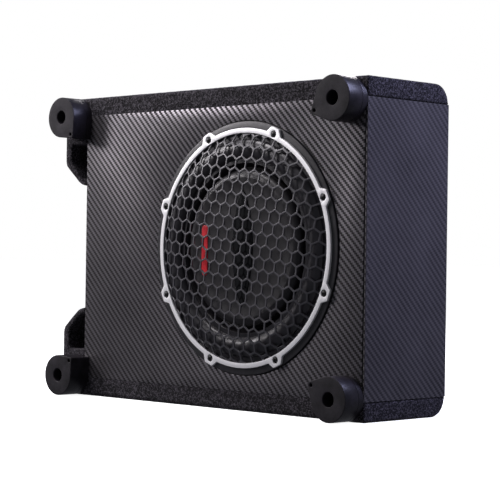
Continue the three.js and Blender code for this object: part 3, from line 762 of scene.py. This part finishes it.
grille_coat = start_material("steel_grille_powder_coat")
orange_peel = grain(grille_coat, 0.8, detail=3.0)
finish_material(
    grille_coat,
    base_color=two_colours(grille_coat, orange_peel, "#444347", "#57565b", 0.3, 0.7),
    roughness=0.4,
    metallic=0.1,
    normal=bump(grille_coat, orange_peel, 0.03),
)
grille = piece_of(hex_sheet(), grille_coat, stands_for=["grille_mesh"])
sheet = grille.modifiers.new("sheet", "SOLIDIFY")
sheet.thickness = GRILLE_SHEET
sheet.offset = 0
rounding = grille.modifiers.new("rounding", "BEVEL")
rounding.width = 0.2 * MM
rounding.segments = 1
rounding.limit_method = "ANGLE"


def apply_modifiers(piece):
    """Turns a piece's modifiers into its mesh, shaded smooth."""
    material = piece.data.materials[0]
    seen = piece.evaluated_get(bpy.context.evaluated_depsgraph_get())
    made = bpy.data.meshes.new_from_object(seen)
    made.name = piece.data.name
    piece.modifiers.clear()
    piece.data = made
    if not made.materials:
        made.materials.append(material)
    smooth(made, 75)


apply_modifiers(grille)

# ---- Cone and surround ---------------------------------------------------------------------------
# A butyl rubber half-roll joins the basket to a moulded polypropylene cone. A wide cap of the same satin
# plastic closes it, with a gloss black inlay down its middle and a small red enamel bar.
surround_rubber = start_material("butyl_rubber_satin")
bloom = grain(surround_rubber, 18, detail=4.0)
finish_material(
    surround_rubber,
    base_color=two_colours(surround_rubber, bloom, "#1f1e22", "#2b292e", 0.3, 0.7),
    roughness=0.33,
    normal=bump(surround_rubber, grain(surround_rubber, 0.7), 0.02),
)
cone_plastic = start_material("polypropylene_satin")
flow = grain(cone_plastic, 25, detail=3.0)
finish_material(
    cone_plastic,
    base_color=two_colours(cone_plastic, flow, "#1d1b1e", "#252326", 0.3, 0.7),
    roughness=0.4,
    normal=bump(cone_plastic, grain(cone_plastic, 0.6), 0.03),
)

surround_low, surround_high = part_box("surround")
lip = FACE - 0.9 * MM
roll_middle, roll_half, roll_rise = 104.5 * MM, 10.3 * MM, 6.0 * MM
roll = [
    (roll_middle + roll_half * math.cos(t), lip - roll_rise * math.sin(t))
    for t in np.linspace(0, math.pi, 17)
]
front_line = [(119.2 * MM, lip), (116 * MM, lip), *roll, (93 * MM, lip), (89.6 * MM, lip)]
thickness = 1.2 * MM
back_line = [(r, w + thickness) for r, w in front_line[::-1]]
roll_mesh = turned_mesh("rubber_surround", front_line + back_line, "y", driver, 160)
surround = piece_of(roll_mesh, surround_rubber, stands_for=["surround"])


def blend_by_radius(piece, still, moving):
    """Takes a ring off its body and bakes its place into its mesh; it works out how far each point would
    follow the cone, still at one radius and fully at the other, but moves nothing.
    """
    piece.parent = None
    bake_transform(piece)
    spots = np.array([v.co for v in piece.data.vertices], float)
    radius = np.hypot(spots[:, 0] - DRIVER_X, spots[:, 2] - DRIVER_Z)
    share = np.clip((still - radius) / (still - moving), 0, 1)
    share = share * share * (3 - 2 * share)


blend_by_radius(surround, 115 * MM, 94 * MM)

rim = lip + 1.5 * MM
cone_front = [(95 * MM, rim), (90 * MM, rim), (86.8 * MM, FACE + 9 * MM), (81.5 * MM, FACE + 10.5 * MM)]
cone_front += [(52 * MM, FACE + 25 * MM), (26 * MM, FACE + 37.6 * MM)]
cone_front = softened(cone_front, 3 * MM, 5, closed=False)
cone_back = [(r, w + 1.3 * MM) for r, w in cone_front[::-1]]
cone_mesh = turned_mesh("moulded_cone", cone_front + cone_back, "y", driver, 128)
piece_of(cone_mesh, cone_plastic, "cone_assembly", ["cone"])

skirt = FACE + 8.6 * MM
cap_outline = [(0, FACE - 1.9 * MM), (60 * MM, FACE - 2.2 * MM), (74.5 * MM, FACE - 3.6 * MM)]
cap_outline += [(79.5 * MM, FACE - 2.6 * MM), (82.9 * MM, FACE + 1.4 * MM), (82.4 * MM, skirt)]
cap_outline += [(81.2 * MM, skirt), (80.8 * MM, FACE - 0.6 * MM), (60 * MM, FACE - 0.5 * MM)]
cap_outline += [(0, FACE - 0.4 * MM)]
cap_outline = softened(cap_outline, [0, 8 * MM, 0.7 * MM, 4 * MM, 2.4 * MM, 0, 0, 2 * MM, 4 * MM, 0], 6)
cap_mesh = turned_mesh("wide_dust_cap", cap_outline, "y", driver, 160, closed=False)
piece_of(cap_mesh, cone_plastic, "cone_assembly", ["dust_cap"])

gloss_black = start_material("acrylic_inlay_gloss_black")
finish_material(
    gloss_black,
    base_color=two_colours(gloss_black, grain(gloss_black, 30), "#060607", "#0c0c0e"),
    roughness=0.16,
)
red_enamel = start_material("enamel_bar_red")
finish_material(
    red_enamel,
    base_color=two_colours(red_enamel, grain(red_enamel, 1.5), "#d8202c", "#ee3844", 0.3, 0.7),
    roughness=0.3,
)
cap_face = FACE - 1.9 * MM
inlay_half, inlay_waist = 62 * MM, 14.5 * MM
shares = [i / 24 for i in range(25)]
right_edge = [
    (DRIVER_X + inlay_waist * math.sin(math.pi * t) ** 0.7, DRIVER_Z + inlay_half * (2 * t - 1))
    for t in shares
]
left_edge = [(2 * DRIVER_X - u, v) for u, v in right_edge[-2:0:-1]]
inlay_loops = [right_edge + left_edge]
inlay = plate("gloss_inlay", inlay_loops, cap_face - 1.1 * MM, cap_face + 0.6 * MM, "y", 0.4 * MM)
piece_of(inlay, gloss_black, "cone_assembly")
mark_x = DRIVER_X - 57 * MM
mark = rectangle(mark_x - 4.5 * MM, mark_x + 4.5 * MM, DRIVER_Z - 30 * MM, DRIVER_Z + 24 * MM)
mark_mesh = plate("red_enamel_bar", [softened(mark, 4 * MM)], cap_face - 0.9 * MM, cap_face + 0.6 * MM, "y",
                  0.4 * MM)
piece_of(mark_mesh, red_enamel, "cone_assembly")

# ---- Basket, motor and spider --------------------------------------------------------------------
# Inside the box: a pressed steel basket in black paint, zinc-plated steel plates, a ground ferrite ring,
# a copper coil on amber film, and a resin-treated cotton spider.
basket_paint = start_material("steel_basket_black_paint")
finish_material(
    basket_paint,
    base_color=two_colours(basket_paint, grain(basket_paint, 2), "#1b1b1d", "#2a2a2d", 0.3, 0.7),
    roughness=0.5,
    normal=bump(basket_paint, grain(basket_paint, 1.2), 0.05),
)
dress(basket_paint, "black_steel", "driver_basket")

zinc = start_material("steel_zinc_plated")
finish_material(
    zinc,
    base_color=two_colours(zinc, grain(zinc, 6, detail=5.0), "#8d8f94", "#b3b5b8", 0.3, 0.7),
    metallic=1.0,
    roughness=0.38,
    normal=bump(zinc, grain(zinc, 0.8), 0.02),
)
dress(zinc, "plain_steel", "top_plate", "back_plate_and_pole", "amp_housing")

ferrite = start_material("ferrite_ground")
finish_material(
    ferrite,
    base_color=two_colours(ferrite, grain(ferrite, 1.4), "#29292c", "#424246", 0.35, 0.65),
    roughness=0.75,
    normal=bump(ferrite, grain(ferrite, 0.9), 0.1),
)
dress(ferrite, "ferrite", "ring_magnet")

copper = start_material("copper_wire_enamelled")
turns = add_node(copper, "ShaderNodeTexCoord")
winding = add_node(
    copper, "ShaderNodeTexWave", {"Vector": turns.outputs["Object"], "Scale": 1 / (6 * MM)},
    bands_direction="Y",
)
finish_material(
    copper,
    base_color=two_colours(copper, winding, "#8a4a22", "#c8793f"),
    metallic=0.9,
    roughness=0.35,
    normal=bump(copper, winding, 0.1),
)
dress(copper, "copper_wire", "voice_coil")

amber_film = start_material("polyimide_film_amber")
finish_material(
    amber_film,
    base_color=two_colours(amber_film, grain(amber_film, 5), "#8f5a22", "#b3762f", 0.3, 0.7),
    roughness=0.3,
)
dress(amber_film, "former_film", "voice_coil_former")

cotton = start_material("cotton_spider_resin_treated")
weave = add_node(cotton, "ShaderNodeTexCoord")
threads = add_node(
    cotton, "ShaderNodeTexBrick",
    {"Vector": weave.outputs["Object"], "Scale": 1 / (4 * MM), "Mortar Size": 0.03,
     "Color1": linear("#c1a869"), "Color2": linear("#a98f52"), "Mortar": linear("#6f5a2c")},
)
finish_material(cotton, base_color=threads, roughness=0.85, normal=bump(cotton, threads.outputs["Fac"], 0.15))
spider_low, spider_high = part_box("spider")
spider_inner, spider_outer = 25.8 * MM, 75.3 * MM
waves = 5
spider_line = [(spider_inner, 0.2 * MM), (29 * MM, 0.2 * MM)]
for share in np.linspace(0.02, 0.98, 61):
    swing = 1.6 * math.sin(share * waves * 2 * math.pi)
    spider_line.append(((30 + 36.5 * share) * MM, (3 * share + swing) * MM))
spider_line += [(68 * MM, 3 * MM), (spider_outer, 3 * MM)]
spider_back = [(r, w + 0.7 * MM) for r, w in spider_line[::-1]]
spider_mesh = turned_mesh("cotton_spider", spider_line + spider_back, "y", driver, 96)
spider = piece_of(spider_mesh, cotton, stands_for=["spider"])
blend_by_radius(spider, 67 * MM, 30 * MM)

# ---- Amplifier plate and heatsink ----------------------------------------------------------------
# The amplifier fills a hole in the left side, between the guard wings: a 3 mm aluminium plate and a
# finned extrusion, both black anodised, which leaves a fine metallic sheen on the machined edges.
anodised = start_material("aluminium_black_anodised")
place = add_node(anodised, "ShaderNodeTexCoord")
stretch = add_node(
    anodised, "ShaderNodeMapping", {"Vector": place.outputs["Object"], "Scale": (1, 1, 0.04)}
)
drawn = add_node(anodised, "ShaderNodeTexNoise", {"Vector": stretch, "Scale": 1 / (0.5 * MM), "Detail": 3.0})
finish_material(
    anodised,
    base_color=two_colours(anodised, drawn, "#1d1d20", "#303034", 0.3, 0.7),
    metallic=0.7,
    roughness=0.42,
    normal=bump(anodised, drawn, 0.03),
)
plate_low, plate_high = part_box("amp_plate")
HOLE_GROWTH = 0.4 * MM
CONTROL_Z = (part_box("gain_knob")[0].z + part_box("gain_knob")[1].z) / 2
KNOBS = ("gain_knob", "lowpass_knob", "bass_boost_knob")
knob_y = {name: (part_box(name)[0].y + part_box(name)[1].y) / 2 for name in KNOBS}
AMP_SCREWS = [f"amp_screw_{i}" for i in range(1, 5)]


def middle_yz(node):
    low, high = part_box(node)
    return ((low.y + high.y) / 2, (low.z + high.z) / 2)


plate_outline = softened(rectangle(plate_low.y, plate_high.y, plate_low.z, plate_high.z), 4 * MM, 6)
plate_loops = [plate_outline]
plate_loops += [circle(3.1 * MM, 24, (y, CONTROL_Z)) for y in knob_y.values()]
plate_loops += [circle(1.9 * MM, 16, middle_yz(name)) for name in (*AMP_SCREWS, "power_light")]
for socket in ("rca_jacks", "highlevel_socket", "power_terminal_block"):
    low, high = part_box(socket)
    hole = rectangle(low.y - HOLE_GROWTH, high.y + HOLE_GROWTH, low.z - HOLE_GROWTH, high.z + HOLE_GROWTH)
    plate_loops.append(hole)
slider_low, slider_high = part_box("phase_switch_slider")
SLIDE = 4 * MM
plate_loops.append(
    rectangle(slider_low.y - HOLE_GROWTH, slider_high.y + SLIDE + HOLE_GROWTH, CONTROL_Z - 3 * MM,
              CONTROL_Z + 3 * MM)
)
amp_plate = plate("anodised_amp_plate", plate_loops, plate_low.x, plate_high.x, "x", 0.5 * MM)
piece_of(amp_plate, anodised, stands_for=["amp_plate"])

sink_low, sink_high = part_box("heatsink")
FINS = 12
base_x = sink_high.x - 4 * MM
root_thick, tip_thick = 2.3 * MM, 1.4 * MM
fin_pitch = (sink_high.y - sink_low.y - root_thick) / (FINS - 1)
comb = [(sink_high.x, sink_low.y)]
for i in range(FINS):
    y = sink_low.y + i * fin_pitch
    slope = (root_thick - tip_thick) / 2
    comb += [(base_x, y), (sink_low.x, y + slope)]
    comb += [(sink_low.x, y + root_thick - slope), (base_x, y + root_thick)]
comb.append((sink_high.x, sink_high.y))
radii = [0.5 * MM] + [0.9 * MM, 0.65 * MM, 0.65 * MM, 0.9 * MM] * FINS + [0.5 * MM]
sink = plate("finned_heatsink", [softened(comb, radii, 3)], sink_low.z, sink_high.z, "z", 0.0)
piece_of(sink, anodised, stands_for=["heatsink"])

for name in AMP_SCREWS:
    low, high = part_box(name)
    mesh = cross_screw(f"{name}_pan_head", middle_yz(name), "x", low.x, 3.3 * MM, 1.8 * MM, 1.5 * MM, high.x)
    piece_of(mesh, black_screw, stands_for=[name])

# ---- Amplifier controls --------------------------------------------------------------------------
# Three satin ABS knobs with fluted sides and a white pointer turn on the plate, beside a slide switch
# and a pale light. Plain white dots mark each knob's range on the plate.
satin_black = start_material("abs_moulded_satin_black")
finish_material(
    satin_black,
    base_color=two_colours(satin_black, grain(satin_black, 3), "#161618", "#202023", 0.3, 0.7),
    roughness=0.42,
    normal=bump(satin_black, grain(satin_black, 0.35), 0.03),
)
white_paint = start_material("pad_print_white")
finish_material(
    white_paint,
    base_color=two_colours(white_paint, grain(white_paint, 1), "#d9d9d6", "#f0f0ee", 0.3, 0.7),
    roughness=0.5,
)
FLUTES = 16
for name, y in knob_y.items():
    low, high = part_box(name)
    radius = (high.z - low.z) / 2
    outline = []
    for i in range(FLUTES * 6):
        turn = 2 * math.pi * i / (FLUTES * 6)
        dip = 0.35 * MM * (0.5 + 0.5 * math.cos(FLUTES * turn))
        outline.append((y + (radius - dip) * math.cos(turn), CONTROL_Z + (radius - dip) * math.sin(turn)))
    cap = plate(f"{name}_cap", [outline], low.x + 0.2 * MM, low.x + 10 * MM, "x", 0.6 * MM)
    piece_of(cap, satin_black, name, [name])
    shaft = plate(f"{name}_shaft", [circle(2.5 * MM, 24, (y, CONTROL_Z))], low.x + 10 * MM, high.x, "x", 0.0)
    piece_of(shaft, zinc, name)
    pointer = rectangle(y - 0.45 * MM, y + 0.45 * MM, CONTROL_Z + 1.4 * MM, CONTROL_Z + radius - 0.9 * MM)
    line = plate(f"{name}_pointer", [pointer], low.x, low.x + 0.5 * MM, "x", 0.0)
    piece_of(line, white_paint, name)
    for k in range(7):
        turn = math.radians(-50 + k * 280 / 6)
        dot_at = (y + (radius + 1.9 * MM) * math.cos(turn), CONTROL_Z + (radius + 1.9 * MM) * math.sin(turn))
        dot = plate(f"{name}_dot_{k + 1}", [circle(0.45 * MM, 12, dot_at)], plate_low.x - 0.12 * MM,
                    plate_low.x + 0.1 * MM, "x", 0.0)
        piece_of(dot, white_paint)

slider_loop = softened(rectangle(slider_low.y, slider_high.y, slider_low.z, slider_high.z), 0.5 * MM, 3)
slider = plate("phase_slider_cap", [slider_loop], slider_low.x, slider_high.x, "x", 0.35 * MM)
piece_of(slider, satin_black, "phase_slider", ["phase_switch_slider"])
switch_y = (slider_low.y - 1 * MM, slider_high.y + 5 * MM)
switch_front = rectangle(*switch_y, CONTROL_Z - 4 * MM, CONTROL_Z + 4 * MM)
switch_mesh = plate("phase_switch_front", [switch_front], slider_high.x + 0.1 * MM, slider_high.x + 0.4 * MM,
                    "x", 0.0)
piece_of(switch_mesh, satin_black)

lens = start_material("led_lens_clear_blue")
finish_material(
    lens,
    base_color=two_colours(lens, grain(lens, 1), "#8cc4f2", "#b5dcff"),
    roughness=0.12,
    transmission_weight=0.35,
    emission_color=linear("#6fb8ff"),
    emission_strength=0.25,
)
light_low, light_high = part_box("power_light")
light_centre = middle_yz("power_light")
light_profile = [(0, light_low.x), (0.8 * MM, light_low.x + 0.15 * MM), (1.35 * MM, light_low.x + 0.6 * MM)]
light_profile += [(1.5 * MM, light_low.x + 1.3 * MM), (1.5 * MM, light_high.x), (0, light_high.x)]
light_mesh = turned_mesh("led_lens", light_profile, "x", light_centre, 24, closed=False)
piece_of(light_mesh, lens, stands_for=["power_light"])

# ---- Amplifier sockets ---------------------------------------------------------------------------
# Black nylon mouldings: two gilded line-level jacks, a six-way input socket, and a power block with
# three wire entries, brass clamp screws and an amber blade fuse.
nylon = start_material("nylon_moulded_black")
finish_material(
    nylon,
    base_color=two_colours(nylon, grain(nylon, 2), "#1c1c1f", "#28282c", 0.3, 0.7),
    roughness=0.55,
    normal=bump(nylon, grain(nylon, 0.5), 0.05),
)
gilt = start_material("brass_gold_plated")
finish_material(
    gilt,
    base_color=two_colours(gilt, grain(gilt, 1.5), "#c79a3f", "#e3bd66", 0.3, 0.7),
    metallic=1.0,
    roughness=0.25,
)
jack_low, jack_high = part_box("rca_jacks")
jack_z = (jack_low.z + jack_high.z) / 2
collar = plate_low.x - 2 * MM
jack_block = plate("line_jack_block", [rectangle(jack_low.y, jack_high.y, jack_low.z, jack_high.z)], collar,
                   jack_high.x, "x", 0.5 * MM)
piece_of(jack_block, nylon, stands_for=["rca_jacks"])
ring_white = start_material("jack_insulator_white")
finish_material(ring_white, base_color=two_colours(ring_white, grain(ring_white, 1), "#cfcfcb", "#e8e8e4"),
                roughness=0.45)
for i, (y, filling) in enumerate(((jack_low.y + 6 * MM, red_enamel), (jack_high.y - 6 * MM, ring_white)), 1):
    shell = [(3.2 * MM, jack_low.x), (4.1 * MM, jack_low.x), (4.1 * MM, collar), (3.2 * MM, collar)]
    sleeve = turned_mesh(f"jack_sleeve_{i}", softened(shell, 0.25 * MM, 3), "x", (y, jack_z), 40)
    piece_of(sleeve, gilt)
    plug = [(1.75 * MM, jack_low.x + 0.8 * MM), (3.15 * MM, jack_low.x + 0.8 * MM), (3.15 * MM, collar),
            (1.75 * MM, collar)]
    insulator = turned_mesh(f"jack_insulator_{i}", softened(plug, 0.2 * MM, 2), "x", (y, jack_z), 32)
    piece_of(insulator, filling)

socket_low, socket_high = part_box("highlevel_socket")
wall = 2 * MM
well = rectangle(socket_low.y + wall, socket_high.y - wall, socket_low.z + wall, socket_high.z - wall)
outer = softened(rectangle(socket_low.y, socket_high.y, socket_low.z, socket_high.z), 0.8 * MM, 3)
well_floor = plate_low.x + 5 * MM
shell = plate("input_socket_shell", [outer, well], socket_low.x, well_floor, "x", 0.4 * MM)
piece_of(shell, nylon, stands_for=["highlevel_socket"])
floor_plate = plate("input_socket_floor", [outer], well_floor, socket_high.x, "x", 0.0)
piece_of(floor_plate, nylon)
socket_y, socket_z = middle_yz("highlevel_socket")
for i, (dy, dz) in enumerate(((-4.4, -2), (-4.4, 2), (-1.5, -2), (-1.5, 2), (1.5, -2), (1.5, 2)), 1):
    pin_box = rectangle(*[socket_y + (dy + s) * MM for s in (-0.35, 0.35)],
                        *[socket_z + (dz + s) * MM for s in (-0.35, 0.35)])
    pin_mesh = plate(f"input_pin_{i}", [pin_box], well_floor - 6 * MM, well_floor + 0.5 * MM, "x", 0.1 * MM)
    piece_of(pin_mesh, gilt)

terminal_low, terminal_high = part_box("power_terminal_block")
fuse_low, fuse_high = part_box("blade_fuse")
slack = 0.3 * MM
entries = []
for i in range(3):
    y = terminal_low.y + (2.5 + 8 * i) * MM
    entries.append(rectangle(y, y + 6.6 * MM, terminal_low.z + 2 * MM, terminal_low.z + 8.6 * MM))
fuse_hole = rectangle(fuse_low.y - slack, fuse_high.y + slack, fuse_low.z - slack, fuse_high.z + slack)
block_outline = rectangle(terminal_low.y, terminal_high.y, terminal_low.z, terminal_high.z)
block_front = [block_outline, *entries, fuse_hole]
front_part = plate("power_block_front", block_front, terminal_low.x, fuse_high.x, "x", 0.4 * MM)
piece_of(front_part, nylon, stands_for=["power_terminal_block"])
block_middle = [block_outline, *entries]
middle_part = plate("power_block_middle", block_middle, fuse_high.x, plate_low.x + 2 * MM, "x", 0.0)
piece_of(middle_part, nylon)
back_part = plate("power_block_back", [block_outline], plate_low.x + 2 * MM, terminal_high.x, "x", 0.0)
piece_of(back_part, nylon)
for i in range(3):
    y = terminal_low.y + (2.5 + 8 * i + 3.3) * MM
    clamp = cross_screw(
        f"clamp_screw_{i + 1}", (y, terminal_low.z + 12.6 * MM), "x", terminal_low.x - 0.5 * MM,
        2.6 * MM, 1.2 * MM, 1.2 * MM, terminal_low.x + 0.6 * MM,
    )
    piece_of(clamp, gilt)

amber_nylon = start_material("nylon_fuse_amber_clear")
finish_material(
    amber_nylon,
    base_color=two_colours(amber_nylon, grain(amber_nylon, 3), "#d08c10", "#eaa825", 0.3, 0.7),
    roughness=0.18,
    transmission_weight=0.25,
)
waist = 0.5 * MM
fuse_shape = [
    (fuse_low.y, fuse_low.x), (fuse_high.y, fuse_low.x), (fuse_high.y, fuse_low.x + 4 * MM),
    (fuse_high.y - 2 * waist, fuse_low.x + 5 * MM), (fuse_high.y - 2 * waist, fuse_high.x),
    (fuse_low.y + 2 * waist, fuse_high.x), (fuse_low.y + 2 * waist, fuse_low.x + 5 * MM),
    (fuse_low.y, fuse_low.x + 4 * MM),
]
fuse_loop = [(x, y) for y, x in fuse_shape]
fuse_mesh = plate("blade_fuse_body", [fuse_loop], fuse_low.z, fuse_high.z, "z", 0.4 * MM)
piece_of(fuse_mesh, amber_nylon, stands_for=["blade_fuse"])

# ---- Amplifier inside ----------------------------------------------------------------------------
# A glass-epoxy board with its solder mask, a copper toroid and a sleeved capacitor sit in a steel box.
solder_mask = start_material("glass_epoxy_solder_mask")
finish_material(
    solder_mask,
    base_color=two_colours(solder_mask, grain(solder_mask, 6), "#174b2b", "#236a3d", 0.35, 0.65),
    roughness=0.35,
)
dress(solder_mask, "circuit_board", "amp_board")
dress(copper, "copper_wire", "power_transformer")
dress(satin_black, "black_plastic", "filter_capacitor")
dress(nylon, "connector_plastic", "driver_terminals")

# ---- Floor and light -----------------------------------------------------------------------------
# A plain white studio floor and an even white surround. A soft lamp on the upper left front gives the
# twill its highlights, with one above and one at the left. One more lights the right side and one the back.
floor_mesh = bpy.data.meshes.new("studio_floor")
reach = 30.0
floor_mesh.from_pydata([(-reach, -reach, 0), (reach, -reach, 0), (reach, reach, 0), (-reach, reach, 0)], [],
                       [(0, 1, 2, 3)])
floor = bpy.data.objects.new("studio_floor", floor_mesh)
bpy.context.scene.collection.objects.link(floor)
paper = start_material("studio_paper_white")
finish_material(
    paper,
    base_color=two_colours(paper, grain(paper, 300), "#f6f6f6", "#fafafa"),
    roughness=0.9,
    specular_ior_level=0.1,
    emission_color=(1, 1, 1, 1),
    emission_strength=0.9,
)
floor_mesh.materials.append(paper)
floor.visible_diffuse = False
floor.visible_glossy = False

world = bpy.data.worlds.new("studio")
world.use_nodes = True
sky = world.node_tree.nodes["Background"]
sky.inputs["Color"].default_value = linear("#f0f2ff")
sky.inputs["Strength"].default_value = 0.16
backdrop = world.node_tree.nodes.new("ShaderNodeBackground")
ray = world.node_tree.nodes.new("ShaderNodeLightPath")
either = world.node_tree.nodes.new("ShaderNodeMixShader")
world.node_tree.links.new(ray.outputs["Is Camera Ray"], either.inputs[0])
world.node_tree.links.new(sky.outputs[0], either.inputs[1])
world.node_tree.links.new(backdrop.outputs[0], either.inputs[2])
world.node_tree.links.new(either.outputs[0], world.node_tree.nodes["World Output"].inputs[0])
backdrop.inputs["Color"].default_value = (1, 1, 1, 1)
bpy.context.scene.world = world


def soft_lamp(name, place, target, size, watts, colour="#fffafe"):
    data = bpy.data.lights.new(name, "AREA")
    data.shape = "DISK"
    data.size = size
    data.energy = watts
    data.color = linear(colour)[:3]
    lamp = bpy.data.objects.new(name, data)
    lamp.location = place
    lamp.rotation_euler = (Vector(target) - Vector(place)).to_track_quat("-Z", "Y").to_euler()
    bpy.context.scene.collection.objects.link(lamp)
    return lamp


soft_lamp("key_lamp", (-0.9, -0.76, 0.66), (-0.1, 0, 0.25), 0.36, 6.2)
soft_lamp("top_lamp", (-0.4, -0.5, 1.2), (0, 0, 0.25), 0.5, 9)
soft_lamp("rim_lamp", (-1.2, -0.22, 0.7), (0, 0, 0.2), 0.4, 4)
soft_lamp("side_lamp", (0.66, 0.26, 0.82), (0.2, 0, 0.25), 0.5, 9, "#cdd0ff")
soft_lamp("back_lamp", (-1.2, 1.7, 1.1), (0, 0, 0.17), 0.9, 14)
